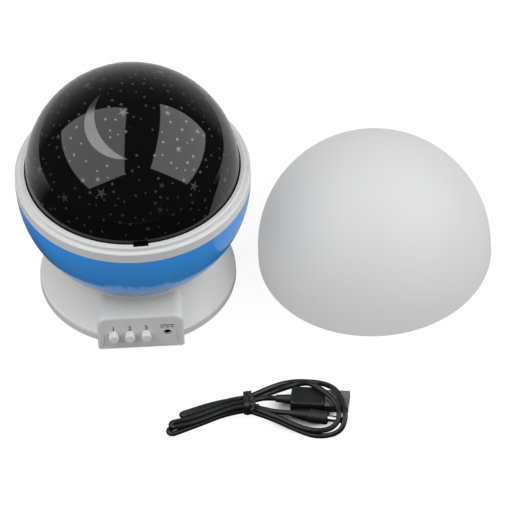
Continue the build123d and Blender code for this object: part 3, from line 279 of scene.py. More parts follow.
def vector_node(tree, operation, first, second=None):
    """A vector math node. SCALE takes a number as its second value, and LENGTH gives one."""
    node = tree.nodes.new("ShaderNodeVectorMath")
    node.operation = operation
    put(tree, node.inputs[0], first)
    if second is not None:
        put(tree, node.inputs["Scale" if operation == "SCALE" else 1], second)
    return node.outputs["Value" if operation == "LENGTH" else "Vector"]


def ramp(tree, value, start, stop, low, high):
    """Map Range, clamped at both ends: start..stop becomes low..high."""
    node = tree.nodes.new("ShaderNodeMapRange")
    return feed(tree, node, Value=value, From_Min=start, From_Max=stop, To_Min=low, To_Max=high)["Result"]


print("helpers: one for numbers, one for vectors and a ramp")

# %% [markdown]
# A mix and a noise make the patterns. Raw noise hardly leaves its middle, so a ramp takes that
# middle band as the whole.

# %% Pattern helpers
NOISE_BAND = (0.3, 0.7)         # nearly all of a noise lies in it


def mixed(tree, kind, factor, first, second):
    """First where the factor is 0, second where it is 1. The kind is FLOAT or RGBA."""
    node = tree.nodes.new("ShaderNodeMix")
    node.data_type = kind
    return feed(tree, node, Factor=factor, A=first, B=second)["Result"]


def noise(tree, vector, scale, detail):
    """A noise of 0..1, its scale in patches to the metre."""
    node = tree.nodes.new("ShaderNodeTexNoise")
    return feed(tree, node, Vector=vector, Scale=scale, Detail=detail)["Fac"]


def spread(tree, value, low, high):
    """A noise's middle band as low..high."""
    return ramp(tree, value, *NOISE_BAND, low, high)


print("noise is spread from", *NOISE_BAND)

# %% [markdown]
# ## Shader effects that several finishes share
# Moulded plastic is never one flat colour. Its skin has a faint grain from the mould, its gloss
# changes slowly over the surface, and its colour drifts by a percent or two. Each of these could be
# copied into every material, but a node group with named inputs is built once and placed with its
# own values, so that a change reaches every finish.

# %% Group: moulded skin
KINDS = {1: "NodeSocketFloat", 3: "NodeSocketVector", 4: "NodeSocketColor"}


def new_group(name, outputs, **inputs):
    """A shader node group, the sockets that are given, and its output node. Its outputs and inputs
    are told by what they hold: one number, the three of a vector or the four of a colour."""
    group = bpy.data.node_groups.new(name, "ShaderNodeTree")
    for label, value in inputs.items():
        kind = KINDS[np.size(value)]
        socket = group.interface.new_socket(name=label.replace("_", " "), in_out="INPUT", socket_type=kind)
        socket.default_value = value
    for label, count in outputs.items():
        group.interface.new_socket(name=label, in_out="OUTPUT", socket_type=KINDS[count])
    return group, group.nodes.new("NodeGroupInput").outputs, group.nodes.new("NodeGroupOutput")


def moulded_skin_group():
    """Grain height from fine noise, and gloss that wanders between two roughness values."""
    group, given, end = new_group(
        "moulded_skin", {"Roughness": 1, "Height": 1}, Vector=(0.0, 0.0, 0.0),
        Grain_Scale=2500.0, Wander_Scale=60.0, Gloss_Roughness=0.2, Dull_Roughness=0.3,
    )
    slow = noise(group, given["Vector"], given["Wander Scale"], detail=4.0)
    rough = spread(group, slow, given["Gloss Roughness"], given["Dull Roughness"])
    feed(group, end, Roughness=rough, Height=noise(group, given["Vector"], given["Grain Scale"], detail=2.0))
    return group


SKIN = moulded_skin_group()
print("group:", SKIN.name)

# %% [markdown]
# The colour's drift is a slow noise that scales the colour up and down by the same share. Rolled
# and turned metal has fine lines instead of grain: the same noise, stretched along one axis.

# %% Groups: drift and lines
def tone_drift_group():
    """Colour times 1 - drift .. 1 + drift, after slow noise."""
    group, given, end = new_group(
        "tone_drift", {"Colour": 4}, Vector=(0.0, 0.0, 0.0), Colour=(0.8, 0.8, 0.8, 1.0),
        Drift=0.03, Patch_Scale=25.0,
    )
    slow = noise(group, given["Vector"], given["Patch Scale"], detail=5.0)
    less = math_node(group, "SUBTRACT", 1.0, given["Drift"])
    more = math_node(group, "ADD", 1.0, given["Drift"])
    feed(group, end, Colour=vector_node(group, "SCALE", given["Colour"], spread(group, slow, less, more)))
    return group


def fine_lines_group():
    """Height and roughness of fine lines along one axis, from noise that is stretched along it."""
    group, given, end = new_group(
        "fine_lines", {"Roughness": 1, "Height": 1}, Vector=(0.0, 0.0, 0.0),
        Stretch=(30.0, 2500.0, 2500.0), Gloss_Roughness=0.2, Dull_Roughness=0.4,
    )
    lines = noise(group, vector_node(group, "MULTIPLY", given["Vector"], given["Stretch"]), 1.0, detail=2.0)
    rough = spread(group, lines, given["Gloss Roughness"], given["Dull Roughness"])
    feed(group, end, Roughness=rough, Height=lines)
    return group


DRIFT = tone_drift_group()
LINES = fine_lines_group()
print("groups:", DRIFT.name, LINES.name)

# %% [markdown]
# ## Finishes
# Every moulded finish is the same recipe with its own numbers: colour drift, a roughness that
# wanders, and a bump from the grain. One function writes the recipe. Patterns read Object
# coordinates, which are the real metres of the frame, so a grain of half a millimetre is half a
# millimetre on every piece. Saturated and black pieces pass a grey to the soft light that goes on
# to their neighbours, as big white cards beside them would.

# %% The recipe
PATCH_SCALE = 22.0              # patches of colour to the metre
WANDER_SCALE = 45.0             # and of gloss
WHITE = (1.0, 1.0, 1.0, 1.0)


def new_material(name):
    """A material, its node tree and its Principled shader. One that is already there is used."""
    material = bpy.data.materials.get(name) or bpy.data.materials.new(name)
    material.use_nodes = True
    return material, material.node_tree, material.node_tree.nodes["Principled BSDF"]


def place_group(tree, group, vector, **values):
    """A group node in a material, fed by a vector, its named inputs set from keywords."""
    node = tree.nodes.new("ShaderNodeGroup")
    node.node_tree = group
    return feed(tree, node, Vector=vector, **values)


def object_vector(tree):
    """The place on an object, in metres of the frame."""
    return tree.nodes.new("ShaderNodeTexCoord").outputs["Object"]


def surface(tree, shader, colour, roughness, height, depth):
    """Feeds colour and roughness, and the Normal from a height of 0..1 with a depth in metres."""
    bump = feed(tree, tree.nodes.new("ShaderNodeBump"), Distance=depth, Height=height)
    feed(tree, shader, Base_Color=colour, Roughness=roughness, Normal=bump["Normal"])


def grey_bounce(tree, colour, grey):
    """The colour as it is seen, but a grey for the soft light that goes on to other pieces."""
    path = tree.nodes.new("ShaderNodeLightPath")
    return mixed(tree, "RGBA", path.outputs["Is Diffuse Ray"], colour, (grey, grey, grey, 1.0))


def moulded(name, colour, gloss, dull, grain=1800.0, depth=0.000004, drift=0.015, bounce=None, **sockets):
    """A moulded plastic: drifting colour, wandering gloss and mould grain."""
    material, tree, shader = new_material(name)
    vector = object_vector(tree)
    tone = place_group(tree, DRIFT, vector, Colour=(*colour, 1.0), Drift=drift, Patch_Scale=PATCH_SCALE)
    rough = {"Gloss_Roughness": gloss, "Dull_Roughness": dull}
    skin = place_group(tree, SKIN, vector, Grain_Scale=grain, Wander_Scale=WANDER_SCALE, **rough)
    seen = tone["Colour"] if bounce is None else grey_bounce(tree, tone["Colour"], bounce)
    surface(tree, shader, seen, skin["Roughness"], skin["Height"], depth)
    feed(tree, shader, **sockets)
    material.diffuse_color = (*colour, 1.0)
    return material


print("recipe: patches of", round(1000 / PATCH_SCALE), "mm, gloss of", round(1000 / WANDER_SCALE), "mm")

# %% [markdown]
# Each finish is a line of values under its slot in the record: colour, its gloss at best and at
# worst, then the grain's scale and depth. The cable's own goes straight into the material that it
# already has. The frosted shade has a little light of its own, which stands for the light that
# comes through its thin shell. It could be a subsurface shader, but that turns dark at the lamp.

# %% Moulded finishes
finishes = {
    "white_plastic": moulded("white_moulding", (0.71, 0.71, 0.715), 0.26, 0.36),
    "button_white": moulded("button_moulding", (0.80, 0.80, 0.81), 0.24, 0.34),
    "blue_plastic": moulded(
        "blue_gloss_moulding", (0.055, 0.345, 0.91), 0.10, 0.16, depth=0.000002, bounce=0.5,
        Specular_IOR_Level=0.4,
    ),
    "dome_black": moulded(
        "black_dome_gloss", (0.0032, 0.0032, 0.0036), 0.03, 0.05, 400.0, 0.0000006, drift=0.05, bounce=0.3
    ),
    "frosted_white": moulded(
        "frosted_shade", (0.36, 0.36, 0.365), 0.52, 0.62, grain=2600.0, depth=0.000006,
        Emission_Color=WHITE, Emission_Strength=0.31,
    ),
    "black_plastic": moulded("black_moulding", (0.018, 0.018, 0.02), 0.34, 0.48, 2200.0, 0.000008),
    "cord_cover": moulded("black_cable_moulding", (0.010, 0.010, 0.010), 0.34, 0.46, 2400.0, 0.000006),
    "foot_rubber": moulded("foot_rubber", (0.08, 0.08, 0.085), 0.7, 0.85, grain=1500.0, depth=0.00002),
    "natural_plastic": moulded("natural_nylon", (0.78, 0.76, 0.70), 0.35, 0.5, 1800.0, 0.000006, 0.03),
    "contact_white": moulded("white_tongue", (0.82, 0.82, 0.80), 0.35, 0.45),
    "wire_cover": moulded("red_wire_cover", (0.5, 0.05, 0.035), 0.3, 0.4),
}
moulded("cable_cover", (0.007, 0.007, 0.007), 0.32, 0.42, 1600.0, 0.000008, drift=0.1)
print("moulded finishes:", ", ".join(finishes))

# %% [markdown]
# ## Metal, board, cells and lamp lenses
# The metals need lines from rolling and turning rather than a mould's grain: screws and contacts
# are turned and plated, and the plug's shell is bright tin plate that was rolled along its length.

# %% Metals
def metal(name, colour, gloss, dull, stretch):
    """Plated or rolled metal with fine lines."""
    material, tree, shader = new_material(name)
    vector = object_vector(tree)
    tone = place_group(tree, DRIFT, vector, Colour=(*colour, 1.0), Drift=0.06, Patch_Scale=90.0)
    lines = place_group(tree, LINES, vector, Stretch=stretch, Gloss_Roughness=gloss, Dull_Roughness=dull)
    surface(tree, shader, tone["Colour"], lines["Roughness"], lines["Height"], 0.000003)
    feed(tree, shader, Metallic=1.0)
    material.diffuse_color = (*colour, 1.0)
    return material


finishes["steel"] = metal("plated_steel", (0.60, 0.60, 0.61), 0.18, 0.34, (1500.0, 1500.0, 60.0))
finishes["plated_shell"] = metal("bright_tin_plate", (0.78, 0.78, 0.79), 0.22, 0.34, (60.0, 1800.0, 1800.0))
print("metals:", finishes["steel"].name, finishes["plated_shell"].name)

# %% [markdown]
# The circuit board has tracks under its green resist, which the borders of square cells can stand
# for, and each cell of the battery has a wrapped jacket with a copper-coloured band. The lamps are
# cast resin, which is a glass with a plain transmission.

# %% Board, cells and lamps
TRACK_SCALE = 320.0
TRACK_EDGE = (0.52, 0.58)       # distance to the second nearest cell where a track starts
BAND_EDGE = (0.012, 0.0122)     # place of the jacket's band along y, in metres


def axes_of(tree, vector):
    """The X, Y and Z of a vector, as sockets."""
    return feed(tree, tree.nodes.new("ShaderNodeSeparateXYZ"), Vector=vector)


def circuit_board():
    """Green resist, a little lighter and raised where a copper track runs under it."""
    material, tree, shader = new_material("green_circuit_board")
    cells = tree.nodes.new("ShaderNodeTexVoronoi")
    cells.feature = "F2"
    cells.distance = "CHEBYCHEV"
    near = feed(tree, cells, Vector=object_vector(tree), Scale=TRACK_SCALE)["Distance"]
    mask = ramp(tree, near, *TRACK_EDGE, 0.0, 1.0)
    tone = mixed(tree, "RGBA", mask, (0.012, 0.11, 0.035, 1.0), (0.05, 0.27, 0.09, 1.0))
    surface(tree, shader, tone, 0.35, mask, 0.00003)
    return material


def cell_jacket():
    """Dark printed jacket with a copper-coloured band along part of the cell."""
    material, tree, shader = new_material("cell_jacket")
    vector = object_vector(tree)
    band = ramp(tree, axes_of(tree, vector)["Y"], *BAND_EDGE, 0.0, 1.0)
    tone = mixed(tree, "RGBA", band, (0.03, 0.05, 0.09, 1.0), (0.55, 0.33, 0.15, 1.0))
    skin = place_group(tree, SKIN, vector, Gloss_Roughness=0.2, Dull_Roughness=0.3)
    surface(tree, shader, tone, skin["Roughness"], skin["Height"], 0.000004)
    return material


def lamp_resin(name, colour):
    """Cast resin of a lamp, clear with a slow ripple."""
    material, tree, shader = new_material(name)
    ripple = {"Grain_Scale": 500.0, "Gloss_Roughness": 0.04, "Dull_Roughness": 0.09}
    skin = place_group(tree, SKIN, object_vector(tree), **ripple)
    surface(tree, shader, (*colour, 1.0), skin["Roughness"], skin["Height"], 0.00001)
    feed(tree, shader, Transmission_Weight=0.85)
    return material


finishes["circuit_board"] = circuit_board()
finishes["cell_jacket"] = cell_jacket()
finishes["lamp_clear"] = lamp_resin("clear_lamp_resin", (0.92, 0.94, 0.96))
finishes["lamp_colour"] = lamp_resin("colour_lamp_resin", (0.72, 0.84, 0.95))
print("finishes:", len(finishes))

# %% [markdown]
# ## Which finish goes on which piece
# The record gives every node a slot that says what it is made of, and the finishes are kept under
# the names of those slots, so one look-up dresses them all. A list of forty names would do it too,
# but it would soon disagree with the frame.

# %% Dress the frame's nodes
for node in nodes.values():
    finish = finishes[node.data.materials[0].name]
    for place in node.material_slots:
        place.material = finish
print("dressed:", len(nodes), "nodes; the cable has", cable.data.materials[0].name)

# %% [markdown]
# ## Print on the dome
# A moon, stars and dots are left clear in the dome's dark coat, and they throw the picture on the
# walls. They could be painted by a texture, but each is modelled as a thin inlay that stands a few
# hundredths of a millimetre proud of the dome, so that it is real shape in every export.

# %% Directions and outlines
STAR_SLIM = 0.36                # radius of the notches between a star's points
DOT_SIDES = 12


def unit(vectors):
    """Each vector divided by its length."""
    return vectors / np.linalg.norm(vectors, axis=-1, keepdims=True)


def around(steps):
    """Angles evenly spaced over a full turn: 2 pi i / steps."""
    return np.arange(steps) * 2 * np.pi / steps


def turned(outline, spins):
    """A flat outline turned by each spin: x cos - y sin, and x sin + y cos."""
    c, s = np.cos(spins)[:, None], np.sin(spins)[:, None]
    x, y = outline[None, :, 0], outline[None, :, 1]
    return np.stack([x * c - y * s, x * s + y * c])


def direction(longitude, latitude):
    """Unit vectors of places on the dome told in degrees."""
    lon, lat = np.radians(longitude), np.radians(latitude)
    return np.stack([np.cos(lat) * np.cos(lon), np.cos(lat) * np.sin(lon), np.sin(lat)], axis=-1)


def polar(radius, turn):
    """Points of a flat outline: (r cos a, r sin a)."""
    return np.stack([radius * np.cos(turn), radius * np.sin(turn)], axis=-1)


STAR = polar(np.where(np.arange(10) % 2 == 0, 1.0, STAR_SLIM), around(10) + np.pi / 2)
DOT = polar(1.0, around(DOT_SIDES))
print("a star has", len(STAR), "corners and a dot", len(DOT))

# %% [markdown]
# An outline is laid on the tangent plane at its place and pushed down on the sphere. A loop could
# do this star by star, but all the stars, or all the dots, are worked out as one array.

# %% Inlays
DOME_R = 57.0
DOME_CENTRE = np.array([0.0, 0.0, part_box("star_dome")[1].z / MM - DOME_R])
INLAY_PROUD = 0.05
INLAY_DEEP = 0.6


def inlays(places, sizes, spins, outline):
    """Closed inlays on the sphere. Ring point = (R place + size (x east + y north)) pushed to the
    radius R + proud for the top and R - deep for the bottom; a hub closes each end."""
    count, sides = len(places), len(outline)
    east = unit(np.cross([0.0, 0.0, 1.0], places))
    north = np.cross(places, east)
    x, y = turned(outline, spins) * sizes[:, None]
    rays = unit(DOME_R * places[:, None] + x[..., None] * east[:, None] + y[..., None] * north[:, None])
    top, bottom = DOME_R + INLAY_PROUD, DOME_R - INLAY_DEEP
    rings = np.stack([top * rays, bottom * rays], axis=1)
    hubs = np.stack([top * places, bottom * places], axis=1)
    points = np.concatenate([rings.reshape(count, -1, 3), hubs], axis=1) + DOME_CENTRE
    i = np.arange(sides)
    j = (i + 1) % sides
    upper = np.stack([i, j, np.full(sides, 2 * sides)], axis=1)
    lower = np.stack([j + sides, i + sides, np.full(sides, 2 * sides + 1)], axis=1)
    wall = np.stack([i, i + sides, j + sides, j], axis=1)
    stride = 2 * sides + 2
    faces = []
    for part in (upper, lower, wall):
        shifted = part[None] + (np.arange(count) * stride)[:, None, None]
        faces += shifted.reshape(-1, part.shape[1]).tolist()
    return points.reshape(-1, 3), faces


print("dome of radius", DOME_R, "round", DOME_CENTRE)

# %% [markdown]
# The crescent lies between two circles on the sphere. Both circles' arcs run from tip to tip, and
# the surface between them is blended from one to the other, then pushed out to the dome.

# %% Crescent
MOON_OUTER = (-98.2, 73.0, 22.5)        # longitude, latitude and radius of each circle, in degrees
MOON_INNER = (-52.4, 73.9, 28.7)
MOON_STEPS = 48
MOON_TIP = 0.01                 # share of each arc that is left off at a tip
MOON_SECTION = 6                # corners of the section


def circle_crossings(first, second):
    """Where two circles on the unit sphere cross, from the line in which their planes meet."""
    a, b = direction(*first[:2]), direction(*second[:2])
    heights = np.cos(np.radians([first[2], second[2]]))
    along = np.cross(a, b)
    gram = np.array([[1.0, a @ b], [a @ b, 1.0]])
    base = np.linalg.solve(gram, heights) @ np.stack([a, b])
    reach = np.sqrt((1 - base @ base) / (along @ along))
    return base + reach * along, base - reach * along


def arc_between(circle, start, stop, through):
    """Points of a circle from start to stop, on the side that is nearer to the direction through."""
    centre, radius = direction(*circle[:2]), np.radians(circle[2])
    east = unit(start - (start @ centre) * centre)
    north = np.cross(centre, east)
    sweep = np.arctan2(stop @ north, stop @ east)
    options = []
    for whole in (sweep, sweep - np.sign(sweep) * 2 * np.pi):
        turn = np.linspace(MOON_TIP, 1 - MOON_TIP, MOON_STEPS) * whole
        ring = np.cos(turn)[:, None] * east + np.sin(turn)[:, None] * north
        options.append(np.cos(radius) * centre + np.sin(radius) * ring)
    return max(options, key=lambda arc: float(arc[MOON_STEPS // 2] @ through))


def tube_faces(rows, sides):
    """Faces of a closed tube: its quads, and a cap at each end."""
    caps = [list(range(sides)), list(range(rows * sides - 1, (rows - 1) * sides - 1, -1))]
    return grid_quads(rows, sides, wrap_columns=True)[:, ::-1].tolist() + caps


def crescent():
    """Closed inlay of the moon, a six-cornered section carried from tip to tip, and its directions."""
    outer_centre, inner_centre = direction(*MOON_OUTER[:2]), direction(*MOON_INNER[:2])
    far_side = outer_centre + unit(outer_centre - inner_centre)
    first, last = circle_crossings(MOON_OUTER, MOON_INNER)
    outer = arc_between(MOON_OUTER, first, last, far_side)
    inner = arc_between(MOON_INNER, first, last, far_side)
    across = unit(np.stack([inner, 0.5 * (inner + outer), outer], axis=1))
    top, bottom = (DOME_R + INLAY_PROUD) * across, (DOME_R - INLAY_DEEP) * across[:, ::-1]
    points = np.concatenate([top, bottom], axis=1).reshape(-1, 3) + DOME_CENTRE
    return points, tube_faces(MOON_STEPS, MOON_SECTION), across.reshape(-1, 3)


moon_points, moon_faces, moon_cover = crescent()
print("crescent:", len(moon_faces), "faces")

# %% [markdown]
# The stars at the front have places of their own. The rest of the print is scattered: directions
# are drawn evenly over the dome with a fixed seed, and one is kept if it has room to what is there.

# %% Scatter the print
FRONT_STARS = np.array([
    # longitude, latitude, radius in mm
    (-133, 21, 3.1), (-110, 31, 3.3), (-51, 26, 3.1), (-159, 23, 3.2), (-104, 77, 3.2),
    (16, 41, 3.0), (-124, 35, 1.8), (-71, 34, 1.8), (-75, 21, 1.9), (-49, 48, 2.0),
    (-29, 66, 1.9), (-24, 47, 1.9), (-83, 11, 1.8), (-28, 15, 2.2), (-47, 15, 1.7),
    (-114, 38, 1.6), (-161, 45, 1.8), (170, 43, 1.8),
])
BACK_FROM, BACK_TO, BACK_TOP = 25, 160, 84
BACK_STARS = 26
BACK_RADII = (1.8, 3.1)
DOTS = 340
STAR_SPIN = 0.6                 # the most that a star is turned, in radians
DOT_RADII = (0.5, 0.85)
STAR_ROOM = 10.5
DOT_ROOM = 3.6
PRINT_LOW, PRINT_HIGH = 4.0, 86.0       # latitudes
PRINT_SEED = 20


def scatter(rng, count, taken, room, keep):
    """Directions drawn evenly over the dome, each at least room millimetres from what is taken."""
    chosen = []
    low, high = np.sin(np.radians(PRINT_LOW)), np.sin(np.radians(PRINT_HIGH))
    while len(chosen) < count:
        longitude = rng.uniform(-180, 180)
        latitude = np.degrees(np.arcsin(rng.uniform(low, high)))
        place = direction(longitude, latitude)
        if keep(longitude, latitude) and np.all(np.linalg.norm(taken - place, axis=1) * DOME_R > room):
            chosen.append(place)
            taken = np.vstack([taken, place])
    return np.array(chosen), taken


def behind(longitude, latitude):
    """Whether a place has none of the stars at the front near it."""
    return BACK_FROM < longitude < BACK_TO or latitude > BACK_TOP


rng = np.random.default_rng(PRINT_SEED)
front_places = direction(FRONT_STARS[:, 0], FRONT_STARS[:, 1])
back_places, stars_taken = scatter(rng, BACK_STARS, np.vstack([front_places, moon_cover]), STAR_ROOM, behind)
back_sizes = rng.choice(BACK_RADII, BACK_STARS)
dot_places, _ = scatter(rng, DOTS, stars_taken, DOT_ROOM, lambda *place: True)
dot_sizes = rng.uniform(*DOT_RADII, DOTS)
star_places = np.vstack([front_places, back_places])
star_sizes = np.concatenate([FRONT_STARS[:, 2], back_sizes])
star_spins = rng.uniform(-STAR_SPIN, STAR_SPIN, len(star_sizes))
stars = inlays(star_places, star_sizes, star_spins, STAR)
dots = inlays(dot_places, dot_sizes, np.zeros(DOTS), DOT)
print("print:", len(star_sizes), "stars,", DOTS, "dots and a crescent")

# %% [markdown]
# Clear plastic over a dark inside is grey and shows a wide, soft reflection, because the print's
# surface is rougher than the coat round it. A plain white would stand out too much on the dome.

# %% Print finish
def print_finish():
    material, tree, shader = new_material("clear_print")
    vector = object_vector(tree)
    tone = place_group(tree, DRIFT, vector, Colour=(0.14, 0.145, 0.15, 1.0), Drift=0.15, Patch_Scale=60.0)
    skin = place_group(tree, SKIN, vector, Grain_Scale=900.0, Gloss_Roughness=0.16, Dull_Roughness=0.24)
    surface(tree, shader, tone["Colour"], skin["Roughness"], skin["Height"], 0.000003)
    feed(tree, shader, Metallic=0.8)
    return material


printed = join_parts([(moon_points, moon_faces), stars, dots])
star_print = smooth_piece("star_print", *printed, "star_dome", "lamp_clear", print_finish())
print("print:", len(star_print.data.polygons), "faces in", star_print.data.materials[0].name)

# %% [markdown]
# ## Marks on the control box
# The buttons are told apart by small printed numbers, and the socket by the sign for direct
# current: a line over three dashes. Text is set with Blender's own font, made a mesh, and moved in
# its vertices, so that the piece ends at the origin as the frame's nodes do.

# %% Marks
MARK_Z = 15.2
SIGN_Z = 15.9
MARK_SIZE = 4.6
MARK_BOLD = 0.07                # how far a stroke is thickened on each side
MARK_CURVE = 3                  # steps in each curved stretch of a number
MARK_PROUD = 0.04
MARK_DEEP = 0.1
BOX_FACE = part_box("base_shell")[0].y / MM


def middle_x(node):
    """Middle of a node's box along x, in millimetres."""
    low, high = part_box(node)
    return (low.x + high.x) / 2 / MM


def text_mesh(body, size):
    """Outline of a text as a mesh, its middle at the origin, extruded along z."""
    curve = bpy.data.curves.new("mark_text", "FONT")
    curve.body = body
    curve.size = size
    curve.offset = MARK_BOLD
    curve.align_x, curve.align_y = "CENTER", "CENTER"
    curve.extrude = (MARK_PROUD + MARK_DEEP) / 2
    curve.resolution_u = MARK_CURVE
    holder = new_object("mark_text", curve)
    bpy.context.view_layer.update()
    mesh = bpy.data.meshes.new_from_object(holder.evaluated_get(bpy.context.evaluated_depsgraph_get()))
    bpy.data.objects.remove(holder)
    bpy.data.curves.remove(curve)
    return mesh


def stand_on_face(mesh, x, z):
    """Turns a flat mesh upright on the control box's face, at x and z in millimetres."""
    middle = (MARK_PROUD - MARK_DEEP) / 2
    place = Matrix.Translation((x, BOX_FACE - middle, z)) @ Matrix.Rotation(np.radians(90), 4, "X")
    mesh.transform(Matrix.Scale(MM, 4) @ place)


mark_ink = moulded("grey_mark_ink", (0.10, 0.10, 0.105), 0.45, 0.6, grain=3000.0, depth=0.000002)
for number in (1, 2, 3):
    mesh = text_mesh(str(number), MARK_SIZE)
    stand_on_face(mesh, middle_x(f"button_{number}"), MARK_Z)
    dressed_piece(f"mark_{number}", mesh, "base", mark_ink)
print("marks: 3 numbers of", MARK_SIZE, "mm")

# %% [markdown]
# The sign for direct current is four flat boxes. It could be a text as well, but few fonts have it.

# %% Direct current sign
SIGN_W, BAR_H = 7.2, 0.62
DASH_W, DASH_X = 1.8, 2.7
BAR_Y = 0.75
BARS = [(0.0, BAR_Y, SIGN_W, BAR_H)] + [(x, -BAR_Y, DASH_W, BAR_H) for x in (-DASH_X, 0.0, DASH_X)]
SQUARE = np.array([(-1, -1), (1, -1), (1, 1), (-1, 1)])
BOX_SIDES = [(0, 3, 2, 1), (4, 5, 6, 7), (0, 1, 5, 4), (1, 2, 6, 5), (2, 3, 7, 6), (3, 0, 4, 7)]


def bar_mesh(bars):
    """Flat bars as boxes: each is (x, y, width, height) about its middle."""
    corners = np.vstack([np.insert(SQUARE, 2, height, axis=1) for height in (-1, 1)])
    half_depth = (MARK_PROUD + MARK_DEEP) / 2
    boxes = [(corners * (w / 2, h / 2, half_depth) + (x, y, 0), BOX_SIDES) for x, y, w, h in bars]
    points, faces = join_parts(boxes)
    mesh = bpy.data.meshes.new("direct_current_sign")
    mesh.from_pydata(points.tolist(), [], faces)
    return mesh


sign = bar_mesh(BARS)
stand_on_face(sign, middle_x("dc_jack"), SIGN_Z)
dressed_piece("direct_current_sign", sign, "base", mark_ink)
print("sign:", len(BARS), "bars")

# %% [markdown]
# ## Twisted tie
# A wire in a flat plastic ribbon is wound once round the strands and its two ends are twisted
# together. The ribbon is a section carried round a rounded rectangle: a wire in the middle, told by
# a bell curve, with a thin wing on each side.

# %% Tie band
BUNDLE_HALF = 5.3
BUNDLE_H = 6.8
TIE_T = 1.1
TIE_W = 3.9
TIE_CORNER = 2.2
TIE_STEPS = 96
LOOP_STEPS = 720                # of the loop before it is spaced evenly
RIBBON_STEPS = 13
WING = 0.16                     # half of a wing's thickness
WIRE_SUNK = 0.18                # the wire adds half the tie's thickness less this
WIRE_WIDE = 0.28                # width of the bell, as a share of half the ribbon


def rounded_loop(half_width, low, high, corner, steps):
    """Points and outward normals of a rounded rectangle in the YZ plane, evenly spaced in length."""
    middle_z, half_height = (low + high) / 2, (high - low) / 2
    ring = polar(1.0, around(LOOP_STEPS))
    line = np.sign(ring) * (half_width - corner, half_height - corner) + corner * ring
    closed = np.vstack([line, line[:1]])
    along = np.concatenate([[0], np.cumsum(np.linalg.norm(np.diff(closed, axis=0), axis=1))])
    at = np.linspace(0, along[-1], steps, endpoint=False)
    points = np.stack([np.interp(at, along, closed[:, i]) for i in (0, 1)], axis=1)
    ahead = unit(np.roll(points, -1, axis=0) - np.roll(points, 1, axis=0))
    return points + (0, middle_z), np.stack([ahead[:, 1], -ahead[:, 0]], axis=1)


def ribbon_section():
    """Across the ribbon: a wire in the middle and thin wings. Points are (across, thickness)."""
    across = np.linspace(-1, 1, RIBBON_STEPS)
    half = WING + (TIE_T / 2 - WIRE_SUNK) * np.exp(-((across / WIRE_WIDE) ** 2))
    upper = np.stack([across * TIE_W / 2, half], axis=1)
    return np.concatenate([upper, upper[::-1] * (1, -1)])


def tie_band():
    """The band round the bundle: section x outward normal, carried round the loop."""
    edge = TIE_T / 2
    line, normal = rounded_loop(BUNDLE_HALF + edge, edge, BUNDLE_H + 3 * edge, TIE_CORNER, TIE_STEPS)
    section = ribbon_section()
    x = TIE_AT[0] + np.broadcast_to(section[None, :, 0], (TIE_STEPS, len(section)))
    y = TIE_AT[1] + line[:, None, 0] + section[None, :, 1] * normal[:, None, 0]
    z = line[:, None, 1] + section[None, :, 1] * normal[:, None, 1]
    points = np.stack([x, y, z], axis=-1).reshape(-1, 3)
    return points, grid_quads(TIE_STEPS, len(section), wrap_rows=True, wrap_columns=True)


print("tie band:", TIE_STEPS, "sections of", 2 * RIBBON_STEPS, "points")

# %% [markdown]
# The twist is a section of two lobes that turns as it goes out over the strands, and the two ends
# part at its tip. Two wires wound round each other would look the same, with twice the faces.

# %% Twist
ROPE = [(55.6, -98.2, 7.6), (57.4, -103.4, 10.2), (58.3, -109.0, 8.2)]
ROPE_ENDS = [
    [(58.1, -108.9, 8.3), (59.2, -108.9, 8.2), (60.4, -107.7, 7.6)],
    [(58.1, -108.9, 8.3), (57.6, -110.0, 8.1), (56.6, -111.2, 7.2)],
]
ROPE_LOBES = (1.15, 0.3, 20)    # radius, pinch and sides of the rope's section
END_LOBES = (0.62, 0.25, 12)    # and of each end's
ROPE_TURN = 9.5                 # radians from one end of the rope to the other
ROPE_STEPS, END_STEPS = 40, 10


def carried_tube(path, section, spin):
    """A closed section carried along a path in space and turned by spin, with closed ends."""
    ahead = unit(np.gradient(path, axis=0))
    side = unit(np.cross([0.0, 0.0, 1.0], ahead))
    up = np.cross(ahead, side)
    across, above = turned(section, spin)
    points = path[:, None] + across[..., None] * side[:, None] + above[..., None] * up[:, None]
    return points.reshape(-1, 3), tube_faces(len(path), len(section))


def lobed_section(radius, pinch, sides):
    """Two wires side by side: radius (1 + pinch cos 2a)."""
    turn = around(sides)
    return polar(radius * (1 + pinch * np.cos(2 * turn)), turn)


def bow(corners, steps):
    """A quadratic curve: (1-t)^2 a + 2t(1-t) b + t^2 c."""
    t = np.linspace(0, 1, steps)[:, None]
    a, b, c = np.array(corners)
    return (1 - t) ** 2 * a + 2 * t * (1 - t) * b + t**2 * c


spin = np.linspace(0, ROPE_TURN, ROPE_STEPS)
rope = carried_tube(bow(ROPE, ROPE_STEPS), lobed_section(*ROPE_LOBES), spin)
still = np.zeros(END_STEPS)
rope_ends = [carried_tube(bow(end, END_STEPS), lobed_section(*END_LOBES), still) for end in ROPE_ENDS]
tied = join_parts([tie_band(), rope, *rope_ends])
twist_tie = smooth_piece("twist_tie", *tied, "base", "cord_cover", finishes["cord_cover"])
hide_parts("cable_tie")
print("tie:", len(twist_tie.data.polygons), "faces")

# %% [markdown]
# ## Table
# The lamp stands on a round table. A plane would do for the picture, but a disc has no corner
# that a mirror could show. It belongs to the set.

# %% Table top
TABLE_R = 430.0


def stage_disc():
    """A flat disc of rings and spokes at z = 0, facing up: (r cos a, r sin a, 0)."""
    rings, spokes = 24, 96
    flat = polar(np.linspace(0.02, 1, rings)[:, None] * TABLE_R, around(spokes)).reshape(-1, 2)
    faces = grid_quads(rings, spokes, wrap_columns=True).tolist() + [list(range(spokes))]
    return np.insert(flat, 2, 0.0, axis=1), faces


